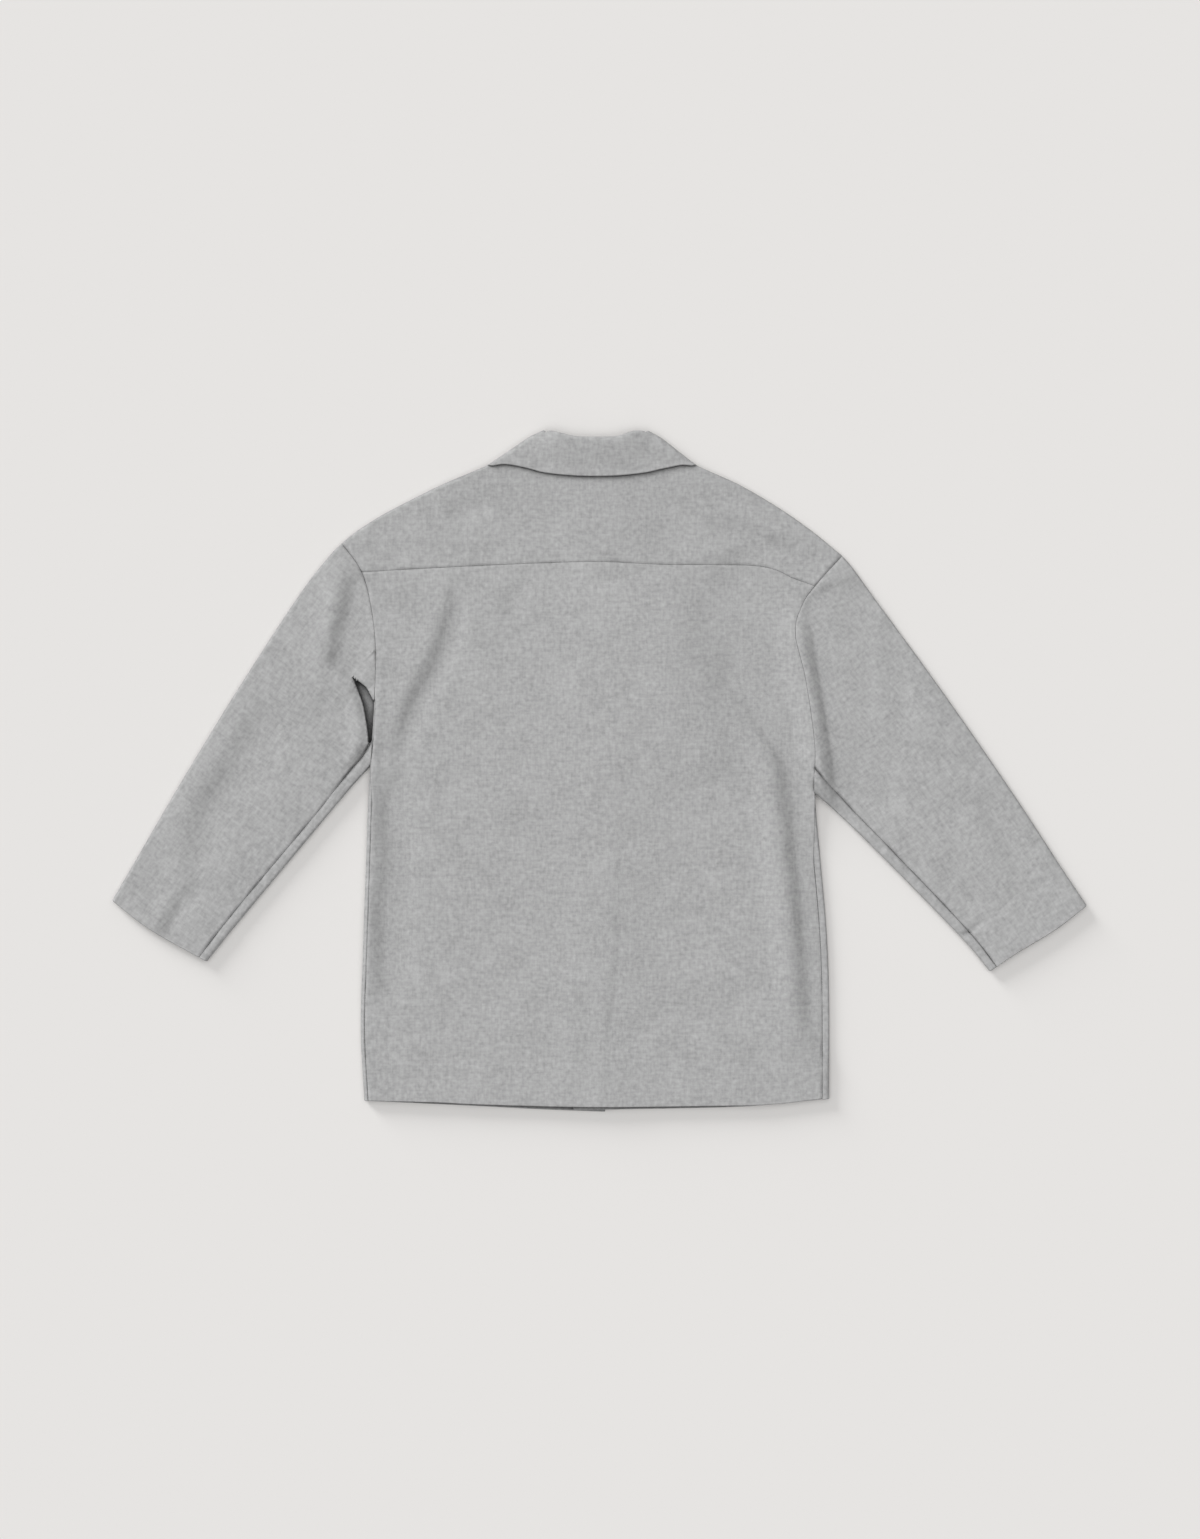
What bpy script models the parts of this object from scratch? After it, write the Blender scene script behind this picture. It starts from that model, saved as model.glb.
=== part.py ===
# A child's wool jacket, laid flat on a table with its back up.
# X runs across the jacket, Y towards the collar, Z up. Sizes are in millimetres
# until a mesh is made. Left and right are the wearer's, so left is at -X.
import math

import bmesh
import bpy
import numpy as np

# Cloth and seams
MM = 0.001
CLOTH = 2.0
SEAM_GAP = 0.3
SIDE_SEAM_GAP = 0.5
LAYER_GAP = 0.6

# Heights of the upper skin above the table
EDGE_HEIGHT = 6.0
FOLD_RADIUS = EDGE_HEIGHT / 2
PUFF = 1.2
PUFF_REACH = 45.0
LEAST_HEIGHT = 4.8
FOLD_TAPER_POWER = 4
LAP_HUMP = 2.8
LAP_MIDDLE_X = 0.0
LAP_HUMP_REACH = 40.0

# Yoke, fronts and collar
YOKE_TURN = 25.0
NECK_REACH = 40.0
NECK_AXIS_HEIGHT = 5.5
FALL_RADIUS = 5.5
STAND_RADIUS = 1.0
STAND_DEPTH = 30.0
NECK_SHARE = 0.55
NECK_HEIGHT = NECK_AXIS_HEIGHT + STAND_RADIUS + CLOTH
LEAF_RISE = NECK_AXIS_HEIGHT - STAND_RADIUS - CLOTH
LEAF_REACH = 20.0
NECK_MARGIN = 12.0
NECK_LEAN = 9.0
NECK_LEAN_POWER = 4
ARMHOLE_SHARE = 0.25
LAP_SLOPE = 18.0

# Buttons of the closed front, in a row under the outer front's edge
BUTTON_X = -6.0
BUTTON_RADIUS = 9.0
BUTTON_HEIGHT = 2.4
BUTTON_BEVEL = 0.6
BUTTON_SIDES = 18
BUTTON_FIRST_Y = 205.0
BUTTON_PITCH = 105.0
BUTTON_COUNT = 5
RIDGE_RISE = BUTTON_HEIGHT + SEAM_GAP
RIDGE_HALF_WIDTH = 10.5
RIDGE_SLOPE = 15.0
RIDGE_END_SLOPE = 40.0

# Mesh steps
ROUND_STEPS = 4
BACK_ROWS_BELOW = 15
BACK_ROWS_ABOVE = 11
FRONT_ROWS_BELOW = 13
FRONT_ROWS_BESIDE = 5
FRONT_ROWS_ABOVE = 9
FRONT_NECK_POINTS = 5
FRONT_EDGE_STEPS = [0, 4, 8, 12, 17, 22, 28, 35, 43, 55]
SLEEVE_UNDER_POINTS = 9
SLEEVE_ROWS = 19
SLEEVE_TOP_POINTS = 13
YOKE_TOP_POINTS = 7
YOKE_TURN_SHARES = [1.0, 0.6, 0.3]
YOKE_TURNED_POINTS = len(YOKE_TURN_SHARES) + ROUND_STEPS
YOKE_SHOULDER_COLUMNS = 10
NECK_COLUMNS = 12
BACK_COLUMNS = 2 * YOKE_SHOULDER_COLUMNS + NECK_COLUMNS
COLLAR_LEAF_COLUMNS = 5
COLLAR_TURN_COLUMNS = 6
COLLAR_FALL_POINTS = 4
CURVE_POINTS = 161
CURVE_STEPS = 16
EDGE_STEP = 4
EDGE_POINTS = (CURVE_POINTS - 1) // EDGE_STEP + 1
FOLD_POINTS = 25
SHARP_ANGLE = 50.0
MITRE_LIMIT = 0.6

WOOL_COLOUR = (0.41, 0.41, 0.405, 1.0)
WOOL_ROUGHNESS = 0.95
BUTTON_COLOUR = (0.10, 0.10, 0.11, 1.0)
BUTTON_ROUGHNESS = 0.45

# Edges of the flat garment. Columns: x, y
LEFT_SIDE = [
    (-235, -329), (-238.5, -259), (-236.5, -182), (-233.5, -99), (-231.5, -38), (-228.5, 12),
    (-225, 69), (-223.5, 121), (-228, 163), (-237.5, 199), (-257.5, 227.5),
]
RIGHT_SIDE = [
    (229.5, -327), (229.5, -229), (227, -160), (220.5, -85), (215, -22), (215, 28),
    (206, 92), (195.5, 139), (203, 167), (218, 188), (242.5, 215),
]
LEFT_SHOULDER = [
    (-257.5, 227.5), (-244.5, 238), (-226.5, 250), (-205.5, 262), (-157.5, 286), (-110.1, 304.3),
]
RIGHT_SHOULDER = [
    (242.5, 215), (214.5, 238), (180.5, 262), (139.5, 286), (94.7, 305),
]
YOKE_SEAM = [
    (-237.3, 198.6), (-185.5, 201.6), (-95.5, 206.1), (-4.5, 208.8), (65, 206.1), (158.5, 204.7),
    (195, 192), (215.5, 184.8),
]
BACK_HEM = [
    (-235, -329), (-160, -330.5), (-119, -332.5), (-9.5, -335), (110, -334), (170.5, -332.5),
    (229.5, -327),
]
LEFT_SLEEVE_OUTER = [
    (-257.5, 227.5), (-270.5, 214), (-298.5, 178), (-353.5, 94), (-412.5, -2), (-468.5, -98),
    (-486.5, -129),
]
LEFT_CUFF = [(-486.5, -129), (-448.5, -158), (-392, -190)]
LEFT_SLEEVE_INNER = [(-229, 5), (-252.5, -21.5), (-308.5, -88.5), (-365.5, -157), (-392, -190)]
RIGHT_SLEEVE_OUTER = [
    (242.5, 215), (253.5, 202), (279.5, 166), (323.5, 106), (374.5, 34), (423.5, -38),
    (460.5, -95), (486.5, -134),
]
RIGHT_CUFF = [(486.5, -134), (455.5, -158), (417.5, -181), (389.5, -200)]
RIGHT_SLEEVE_INNER = [(215, -22), (248.5, -52), (315.5, -119), (366.5, -172), (389.5, -200)]
LEFT_FRONT_EDGE = [(5, -340), (5, -272), (13.5, -172), (16, -66), (14, 100), (13, 242)]
RIGHT_FRONT_EDGE = [(-26, -338), (-24, -170), (-22, 0), (-22, 120), (-23, 242)]
LEFT_FRONT_HEM = [(5, -340), (-60, -337.5), (-119, -334.5), (-235, -329)]
RIGHT_FRONT_HEM = [(-26, -338), (60, -337), (150, -334.5), (229.5, -327)]

# Height above the hem at which the armhole seam begins, and where each sleeve leaves the side
LEFT_UNDERARM_Y = 69.0
RIGHT_UNDERARM_Y = 131.0
TURN_START = 3.0
TURN_END = 9.0
LEFT_NOTCH_Y = 5.0
RIGHT_NOTCH_Y = -22.0

# Side seams lie on top, inside the folded edge. Columns: y, inset
LEFT_SEAM_INSET = [(-335, 4.0), (69, 4.0)]
RIGHT_SEAM_INSET = [(-335, 7.0), (-80, 7.0), (-22, 3.6), (131, 3.4)]

# Underarm seams lie on top, inside the inner fold. Columns: share of the sleeve's length, inset
LEFT_UNDERARM_INSET = [(0.0, 14.0), (0.3, 12.5), (1.0, 10.0)]
RIGHT_UNDERARM_INSET = [(0.0, 17.0), (0.5, 12.5), (1.0, 8.5)]

# Collar, in plan. Fold lines at its sides run from a lower to an upper point; the leaves lie
# under the fronts. Columns: x, y
FALL_EDGE = [
    (-108.5, 301.8), (-96, 304.5), (-74, 300.6), (-40, 294.7), (1.5, 292.4), (44.5, 298.6),
    (65, 302.4), (82, 304.5), (93, 302.5),
]
ROLL_EDGE = [
    (-52.5, 336.4), (-40.5, 336.3), (-26.5, 334.2), (-8, 333.6), (10.5, 334.2), (22, 336.3),
    (31, 337.6), (43.9, 336.2),
]
COLLAR_LOWEST = (-4, 290)
LEFT_LEAF_EDGE = [(-78, 222), (-95, 262), (-108.5, 301.8)]
LEFT_LEAF_ROLL = [(-11, 262), (-30, 296), (-52.5, 336.4)]
RIGHT_LEAF_EDGE = [(93, 302.5), (83, 262), (68, 222)]
RIGHT_LEAF_ROLL = [(43.9, 336.2), (22, 296), (2.5, 262)]

# Largest folds of the upper skin. Columns: piece, half width, height, route of x, y
FOLDS = [
    ("all", 15, -1.8, [(-142, 179), (-160, 111), (-178, 76), (-203, 8)]),
    ("all", 11, -1.1, [(-196, 30), (-215, -89), (-218, -149), (-206, -232)]),
    ("all", 22, 0.9, [(-180, 150), (-196, 80), (-214, 30)]),
    ("all", 12, -0.7, [(-82, 192), (-96, 150)]),
    ("all", 18, -0.9, [(62, 198), (100, 168), (128, 112)]),
    ("all", 20, -1.7, [(118, 130), (150, 60), (184, 18), (190, -39), (196, -100)]),
    ("all", 12, -2.2, [(180, 30), (191, -39), (199, -119), (205, -190), (209, -262)]),
    ("all", 10, -0.9, [(128, 249), (203, 212)]),
    ("all", 13, -0.6, [(-152, 260), (-112, 276)]),
    ("sleeve", 10, -1.6, [(-242, 198), (-250, 166), (-260, 131), (-268, 100)]),
    ("sleeve", 12, -3.4, [(-250, 102), (-238, 72), (-230, 44), (-231, 10)]),
    ("sleeve", 18, -0.9, [(-325, 90), (-370, 0), (-397, -39), (-417, -99)]),
    ("sleeve", 10, -0.9, [(-408, -88), (-424, -139), (-438, -162)]),
    ("sleeve", 13, -3.4, [(203, 140), (212, 110), (220, 60), (224, 6), (224, -24)]),
    ("sleeve", 17, -1.1, [(280, 150), (288, 71), (282, 8)]),
    ("sleeve", 16, -0.9, [(375, -25), (400, -70), (420, -112)]),
]


def lengths(curve):
    steps = np.linalg.norm(np.diff(curve, axis=0), axis=1)
    return np.concatenate([[0.0], np.cumsum(steps)])


def along(curve, distances):
    """Points at given distances from the start of a curve."""
    reach = lengths(curve)
    return np.column_stack([np.interp(distances, reach, curve[:, k]) for k in range(2)])


def at(curve, shares):
    """Points at given shares of a curve's length."""
    return along(curve, np.asarray(shares) * lengths(curve)[-1])


def smooth(table, count=CURVE_POINTS):
    """Evenly spaced points on a smooth curve through a short table."""
    points = np.array(table, float)
    padded = np.vstack([2 * points[0] - points[1], points, 2 * points[-1] - points[-2]])
    steps = np.linspace(0, 1, CURVE_STEPS, endpoint=False)[:, None]
    pieces = []
    for a, b, c, d in zip(padded, padded[1:], padded[2:], padded[3:]):
        bend = 2 * a - 5 * b + 4 * c - d
        twist = 3 * b - a - 3 * c + d
        pieces.append(b + 0.5 * ((c - a) * steps + bend * steps**2 + twist * steps**3))
    fine = np.vstack(pieces + [points[-1:]])
    return at(fine, np.linspace(0, 1, count))


def left_of(curve):
    """Unit directions to the left of a curve's run."""
    run = np.gradient(curve, axis=0)
    run /= np.linalg.norm(run, axis=1)[:, None]
    return np.column_stack([-run[:, 1], run[:, 0]])


def reach_at_height(curve, y):
    """Distance along a rising curve to the height y."""
    return float(np.interp(y, curve[:, 1], lengths(curve)))


def stretch(curve, start, end, count=CURVE_POINTS):
    """The part of a curve between two distances from its start."""
    return along(curve, np.linspace(start, end, count))


def to_route(points, route):
    """Distance from points to a route, and the share of the route at the nearest place."""
    nearest = np.full(len(points), np.inf)
    share = np.zeros(len(points))
    reach = lengths(route)
    for index, (a, b) in enumerate(zip(route, route[1:])):
        run = b - a
        t = np.clip((points - a) @ run / (run @ run), 0, 1)
        gap = np.linalg.norm(points - a - t[:, None] * run, axis=1)
        closer = gap < nearest
        nearest = np.where(closer, gap, nearest)
        here = (reach[index] + t * (reach[index + 1] - reach[index])) / reach[-1]
        share = np.where(closer, here, share)
    return nearest, share


def outside(points, polygon):
    """Distance outside a convex polygon whose corners run anticlockwise, 0 within it."""
    corners = np.array(polygon, float)
    runs = np.roll(corners, -1, axis=0) - corners
    outward = np.column_stack([runs[:, 1], -runs[:, 0]])
    outward /= np.linalg.norm(outward, axis=1)[:, None]
    gaps = np.einsum("pcd,cd->pc", points[:, None, :] - corners[None], outward)
    return np.maximum(gaps.max(axis=1), 0)


def ease(value):
    value = np.clip(value, 0, 1)
    return value * value * (3 - 2 * value)


left_side = smooth(LEFT_SIDE)
right_side = smooth(RIGHT_SIDE)
left_shoulder = smooth(LEFT_SHOULDER)
right_shoulder = smooth(RIGHT_SHOULDER)
left_outer = smooth(LEFT_SLEEVE_OUTER)
right_outer = smooth(RIGHT_SLEEVE_OUTER)
left_inner = smooth(LEFT_SLEEVE_INNER)
right_inner = smooth(RIGHT_SLEEVE_INNER)
left_front_edge = smooth(LEFT_FRONT_EDGE)
fall_edge = smooth(FALL_EDGE)
roll_edge = smooth(ROLL_EDGE)
yoke_seam = smooth(YOKE_SEAM)

# Folded edges, the pleats beside the armpits among them
FOLDED_EDGES = [
    stretch(left_side, 0, reach_at_height(left_side, LEFT_UNDERARM_Y), EDGE_POINTS),
    stretch(right_side, 0, reach_at_height(right_side, RIGHT_UNDERARM_Y), EDGE_POINTS),
    left_shoulder[::EDGE_STEP],
    right_shoulder[::EDGE_STEP],
    left_outer[::EDGE_STEP],
    right_outer[::EDGE_STEP],
    left_inner[::EDGE_STEP],
    right_inner[::EDGE_STEP],
]
COLLAR_FOOTPRINT = [FALL_EDGE[0], COLLAR_LOWEST, FALL_EDGE[-1], ROLL_EDGE[-1], ROLL_EDGE[0]]
LEFT_LEAF = [LEFT_LEAF_EDGE[0], LEFT_LEAF_ROLL[0], LEFT_LEAF_ROLL[-1], LEFT_LEAF_EDGE[-1]]
RIGHT_LEAF = [RIGHT_LEAF_EDGE[-1], RIGHT_LEAF_EDGE[0], RIGHT_LEAF_ROLL[0], RIGHT_LEAF_ROLL[-1]]


def beside_buttons(points):
    """1 along the row of buttons, easing to 0 beyond its ends."""
    last_y = BUTTON_FIRST_Y - BUTTON_PITCH * (BUTTON_COUNT - 1)
    middle_y = (BUTTON_FIRST_Y + last_y) / 2
    half_row = (BUTTON_FIRST_Y - last_y) / 2 + BUTTON_RADIUS
    return ease(1 - (np.abs(points[:, 1] - middle_y) - half_row) / RIDGE_END_SLOPE)


def top_height(points, piece="body"):
    """Height of the upper skin: puffed between the folded edges, creased by the folds."""
    edge_gap = np.min([to_route(points, edge)[0] for edge in FOLDED_EDGES], axis=0)
    height = EDGE_HEIGHT + PUFF * (1 - np.exp(-np.maximum(edge_gap - FOLD_RADIUS, 0) / PUFF_REACH))
    if piece == "body":
        lap = np.exp(-(((points[:, 0] - LAP_MIDDLE_X) / LAP_HUMP_REACH) ** 2))
        full = np.where(points[:, 1] > 0, 1.0, beside_buttons(points))
        height += LAP_HUMP * lap * (1 + full) / 2
    for owner, half_width, fold_height, route in FOLDS:
        if owner in ("all", piece):
            gap, share = to_route(points, smooth(route, FOLD_POINTS))
            taper = 1 - (2 * share - 1) ** FOLD_TAPER_POWER
            height += fold_height * taper * np.exp(-(gap / half_width) ** 2)
    height = np.maximum(height, LEAST_HEIGHT)
    near_neck = ease(1 - (outside(points, COLLAR_FOOTPRINT) - NECK_MARGIN) / NECK_REACH)
    return height + near_neck * (NECK_HEIGHT - height)


def under_height(points):
    """Height of the outer front's lower skin: lifted by the collar's leaves and the buttons."""
    leaf_gap = np.minimum(outside(points, LEFT_LEAF), outside(points, RIGHT_LEAF))
    leaf = LEAF_RISE * ease(1 - (leaf_gap - NECK_MARGIN) / LEAF_REACH)
    beside = ease(1 - (np.abs(points[:, 0] - BUTTON_X) - RIDGE_HALF_WIDTH) / RIDGE_SLOPE)
    return np.maximum(leaf, RIDGE_RISE * beside * beside_buttons(points))


def lapped_height(points):
    """Height of the under front's lower skin: over the outer front, then down beside its edge."""
    edge_x = np.interp(points[:, 1], left_front_edge[:, 1], left_front_edge[:, 0])
    lap = ease(1 - (points[:, 0] - edge_x - 2 * CLOTH) / LAP_SLOPE)
    leaf_gap = outside(points, RIGHT_LEAF)
    flat = LEAF_RISE * ease(1 - (leaf_gap - NECK_MARGIN) / LEAF_REACH)
    over = under_height(points) + CLOTH + LAYER_GAP
    return flat + lap * (over - flat)


def patch_row(patch, share, count=CURVE_POINTS):
    """A line across a four-sided patch, from its left curve to its right curve."""
    bottom, top, left, right = patch
    u = np.linspace(0, 1, count)
    across = u[:, None]
    low = at(bottom, u)
    high = at(top, u)
    start = at(left, [share])
    end = at(right, [share])
    corners = (1 - share) * ((1 - across) * low[0] + across * low[-1])
    corners += share * ((1 - across) * high[0] + across * high[-1])
    return (1 - share) * low + share * high + (1 - across) * start + across * end - corners


def inner_side(section):
    """A section moved in by the cloth's thickness. Its points run anticlockwise."""
    steps = np.diff(section, axis=0)
    steps /= np.linalg.norm(steps, axis=1)[:, None]
    before = np.vstack([steps[:1], steps])
    after = np.vstack([steps, steps[-1:]])
    mean = before + after
    mean /= np.linalg.norm(mean, axis=1)[:, None]
    reach = CLOTH / np.maximum(np.einsum("pd,pd->p", mean, after), MITRE_LIMIT)
    return section + reach[:, None] * np.column_stack([-mean[:, 1], mean[:, 0]])


def half_round(centre_x, low, high, start_angle):
    """Half a circle between two heights, without its first point."""
    radius = (high - low) / 2
    angles = np.radians(start_angle + np.linspace(0, 180, ROUND_STEPS + 1)[1:])
    return np.column_stack([
        centre_x + radius * np.cos(angles),
        low + radius + radius * np.sin(angles),
    ])


def wool_material(name):
    material = bpy.data.materials.new(name + "_wool")
    material.use_nodes = True
    shader = material.node_tree.nodes["Principled BSDF"]
    shader.inputs["Base Color"].default_value = WOOL_COLOUR
    shader.inputs["Roughness"].default_value = WOOL_ROUGHNESS
    material.diffuse_color = WOOL_COLOUR
    return material


def finish_object(name, mesh, material):
    mesh.shade_smooth()
    mesh.set_sharp_from_angle(angle=math.radians(SHARP_ANGLE))
    mesh.materials.append(material)
    piece = bpy.data.objects.new(name, mesh)
    bpy.context.collection.objects.link(piece)
    return piece


def cloth_piece(name, outer, inner, kept):
    """A closed wall between an outer and an inner grid of points, where kept marks its faces."""
    mesh_data = bmesh.new()
    corners = {}

    def corner(side, index):
        if (side, index) not in corners:
            point = (outer, inner)[side][index]
            corners[side, index] = mesh_data.verts.new(point * MM)
        return corners[side, index]

    uses = {}
    for i, j in zip(*np.nonzero(kept)):
        ring = [(i, j), (i, j + 1), (i + 1, j + 1), (i + 1, j)]
        mesh_data.faces.new([corner(0, index) for index in ring])
        mesh_data.faces.new([corner(1, index) for index in reversed(ring)])
        for a, b in zip(ring, ring[1:] + ring[:1]):
            uses.setdefault(frozenset((a, b)), []).append((a, b))
    for edges in uses.values():
        if len(edges) == 1:
            a, b = edges[0]
            mesh_data.faces.new([corner(0, b), corner(0, a), corner(1, a), corner(1, b)])
    bmesh.ops.triangulate(mesh_data, faces=mesh_data.faces[:])
    bmesh.ops.recalc_face_normals(mesh_data, faces=mesh_data.faces[:])
    mesh = bpy.data.meshes.new(name)
    mesh_data.to_mesh(mesh)
    mesh_data.free()
    return finish_object(name, mesh, wool_material(name))


def placed(path, section):
    """A flat section stood on a path: its first column is a distance along the path."""
    return np.column_stack([along(path, section[:, 0]), section[:, 1]])


def side_seam(side, insets, underarm_y, inward):
    """Edge of the back: the side seam up to the underarm, then the armhole seam."""
    table = insets + [
        (underarm_y + TURN_START, insets[-1][1]),
        (underarm_y + TURN_END, SEAM_GAP / 2 - SIDE_SEAM_GAP),
    ]
    heights, sizes = np.array(table).T
    moves = np.interp(side[:, 1], heights, sizes) + SIDE_SEAM_GAP
    return side + inward * left_of(side) * moves[:, None]


def back_panel():
    sides = []
    for side, insets, underarm_y, inward, corner in (
        (left_side, LEFT_SEAM_INSET, LEFT_UNDERARM_Y, -1, yoke_seam[0]),
        (right_side, RIGHT_SEAM_INSET, RIGHT_UNDERARM_Y, 1, yoke_seam[-1]),
    ):
        seam = side_seam(side, insets, underarm_y, inward)
        sides.append(stretch(seam, 0, reach_at_height(seam, corner[1] - SEAM_GAP / 2)))
    hem = smooth([sides[0][0]] + BACK_HEM[1:-1] + [sides[1][0]])
    top = yoke_seam - left_of(yoke_seam) * SEAM_GAP / 2
    top = np.vstack([sides[0][-1:], top[1:-1], sides[1][-1:]])
    patch = (hem, top, sides[0], sides[1])
    turns = []
    for side, underarm_y in ((sides[0], LEFT_UNDERARM_Y), (sides[1], RIGHT_UNDERARM_Y)):
        for above in (TURN_START, TURN_END):
            turns.append(reach_at_height(side, underarm_y + above) / lengths(side)[-1])
    below = np.linspace(0, turns[0], BACK_ROWS_BELOW)
    above = np.linspace(turns[1], 1, BACK_ROWS_ABOVE)
    levels = np.sort(np.concatenate([below, above, turns[2:]]))
    outer = []
    for level in levels:
        plan = at(patch_row(patch, level), np.linspace(1, 0, BACK_COLUMNS))
        outer.append(np.column_stack([plan, top_height(plan)]))
    outer = np.array(outer)
    inner = outer - np.array([0, 0, CLOTH])
    kept = np.ones((len(levels) - 1, BACK_COLUMNS - 1), bool)
    return cloth_piece("back_panel", outer, inner, kept)


def front_levels():
    """Shares of the fronts' height for their rows, the same on both so that the lap lies well."""
    splits = []
    for side, underarm_y in ((left_side, LEFT_UNDERARM_Y), (right_side, RIGHT_UNDERARM_Y)):
        splits.append(reach_at_height(side, underarm_y) / (lengths(side)[-1] - YOKE_TURN - SEAM_GAP))
    return np.concatenate([
        np.linspace(0, splits[0], FRONT_ROWS_BELOW),
        np.linspace(splits[0], splits[1], FRONT_ROWS_BESIDE)[1:],
        np.linspace(splits[1], 1, FRONT_ROWS_ABOVE)[1:],
    ])


def front(name, edge, hem, side, insets, turned_rows, upper_edge, height):
    """One front: flat below, turned up round the side to its seam, cut away at the armhole."""
    side = stretch(side, 0, lengths(side)[-1] - YOKE_TURN - SEAM_GAP)
    top = np.vstack([upper_edge[:-1], side[-1:]])
    top_reach = lengths(top)
    neck_reach = top_reach[1:FRONT_NECK_POINTS + 1:2]
    patch = (hem, top, edge, side)
    levels = front_levels()
    outer = []
    inner = []
    for row, level in enumerate(levels):
        path = patch_row(patch, level)
        width = lengths(path)[-1]
        turned = row < turned_rows
        high = float(top_height(along(path, [width - FOLD_RADIUS]))[0])
        flat_end = width - high / 2 if turned else width - SEAM_GAP / 2
        if level < 1:
            rest_count = len(neck_reach) + YOKE_SHOULDER_COLUMNS
            rest = np.linspace(FRONT_EDGE_STEPS[-1], flat_end, rest_count)[1:]
            flat = np.concatenate([FRONT_EDGE_STEPS, rest])
        else:
            near = np.linspace(0, neck_reach[0], len(FRONT_EDGE_STEPS))
            flat = np.concatenate([near, neck_reach[1:], top_reach[-YOKE_SHOULDER_COLUMNS:]])
            flat[-1] = flat_end
        section = np.column_stack([flat, height(along(path, flat))])
        if turned:
            inset = np.interp(at(side, [level])[0, 1], *np.array(insets).T)
            seam_z = float(top_height(along(path, [width - inset]))[0])
            rise = half_round(flat_end, section[-1, 1], high, -90)
            section = np.vstack([section, rise, [(width - inset, seam_z)]])
        inside = inner_side(section)
        spare = ROUND_STEPS + 1 - (len(section) - len(flat))
        for points, grid in ((section, outer), (inside, inner)):
            grid.append(placed(path, np.vstack([points, np.repeat(points[-1:], spare, axis=0)])))
    outer = np.array(outer)
    inner = np.array(inner)
    kept = np.ones((len(levels) - 1, outer.shape[1] - 1), bool)
    kept[turned_rows - 1:, len(flat) - 1:] = False
    return cloth_piece(name, outer, inner, kept)


def sleeve(name, side, notch_y, outward, outer_edge, inner_edge, cuff, insets):
    """A flattened tube from the armhole to the cuff, slit on top along its underarm seam."""
    armhole = side + outward * left_of(side) * SIDE_SEAM_GAP
    start = reach_at_height(armhole, notch_y)
    armhole = stretch(armhole, lengths(armhole)[-1], start)
    outer_edge = smooth([tuple(armhole[0])] + outer_edge[1:])
    inner_edge = smooth([tuple(armhole[-1])] + inner_edge[1:])
    patch = (armhole, smooth(cuff), outer_edge, inner_edge)
    outer = []
    inner = []
    for level in np.linspace(0, 1, SLEEVE_ROWS):
        path = patch_row(patch, level)
        width = lengths(path)[-1]
        seam = width - np.interp(level, *np.array(insets).T)
        edge_high, fold_high = top_height(along(path, [FOLD_RADIUS, width - FOLD_RADIUS]), "sleeve")
        upper = np.linspace(seam - SEAM_GAP / 2, edge_high / 2, SLEEVE_TOP_POINTS)
        upper_z = top_height(along(path, upper), "sleeve")
        upper_z[-1] = edge_high
        lower = np.linspace(edge_high / 2, width - fold_high / 2, SLEEVE_UNDER_POINTS)[1:]
        strip = seam + SEAM_GAP / 2
        strip_z = float(top_height(along(path, [strip]), "sleeve")[0])
        section = np.vstack([
            np.column_stack([upper, upper_z]),
            half_round(edge_high / 2, 0, edge_high, 90),
            np.column_stack([lower, np.zeros(len(lower))]),
            half_round(width - fold_high / 2, 0, fold_high, -90),
            [(strip, strip_z)],
        ])
        outer.append(placed(path, section))
        inner.append(placed(path, inner_side(section)))
    outer = np.array(outer)
    inner = np.array(inner)
    kept = np.ones((SLEEVE_ROWS - 1, outer.shape[1] - 1), bool)
    return cloth_piece(name, outer, inner, kept)


def collar_column(share):
    """Plan line of the collar's back from the fall's edge to the roll."""
    return np.vstack([at(fall_edge, [share]), at(roll_edge, [share])])


def neck_point(share):
    """Where the stand ends on the back, moved on by a seam's gap."""
    column = collar_column(share)[::-1]
    return along(column, [STAND_DEPTH + SEAM_GAP])[0]


def side_fold(lower, upper, outward):
    """Unit run of a collar's side fold line and its outward direction."""
    run = np.array(upper, float) - np.array(lower, float)
    run /= np.linalg.norm(run)
    return run, outward * np.array([-run[1], run[0]])


def shoulder_run(shoulder, lower, upper, outward):
    """Shoulder edge from the armhole, on under the collar's side to the neck point."""
    run, away = side_fold(lower, upper, outward)
    yoke_radius = NECK_AXIS_HEIGHT - LEAF_RISE - SEAM_GAP
    neck = np.array(upper) - run * (STAND_DEPTH + SEAM_GAP) + away * yoke_radius
    return smooth(shoulder[:-1] + [tuple(np.array(lower) + away * yoke_radius), tuple(neck)])


def yoke_shoulder(shoulder, side, inward, lower, upper):
    """Plan lines of one shoulder's columns: the edge, and the seam on the underside."""
    run = shoulder_run(shoulder, lower, upper, -inward)
    shares = np.linspace(0, 1, len(run))[:, None]
    away = left_of(run) * inward
    lean = np.gradient(run, axis=0)
    lean /= np.linalg.norm(lean, axis=1)[:, None]
    under = run + away * YOKE_TURN - lean * NECK_LEAN * shares**NECK_LEAN_POWER
    armhole = side + inward * left_of(side) * SEAM_GAP / 2
    armhole = stretch(armhole, lengths(armhole)[-1], 0)
    start = along(armhole, [YOKE_TURN])[0]
    under += (start - under[0]) * (1 - ease(shares / ARMHOLE_SHARE))
    return run, under, armhole


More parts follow.
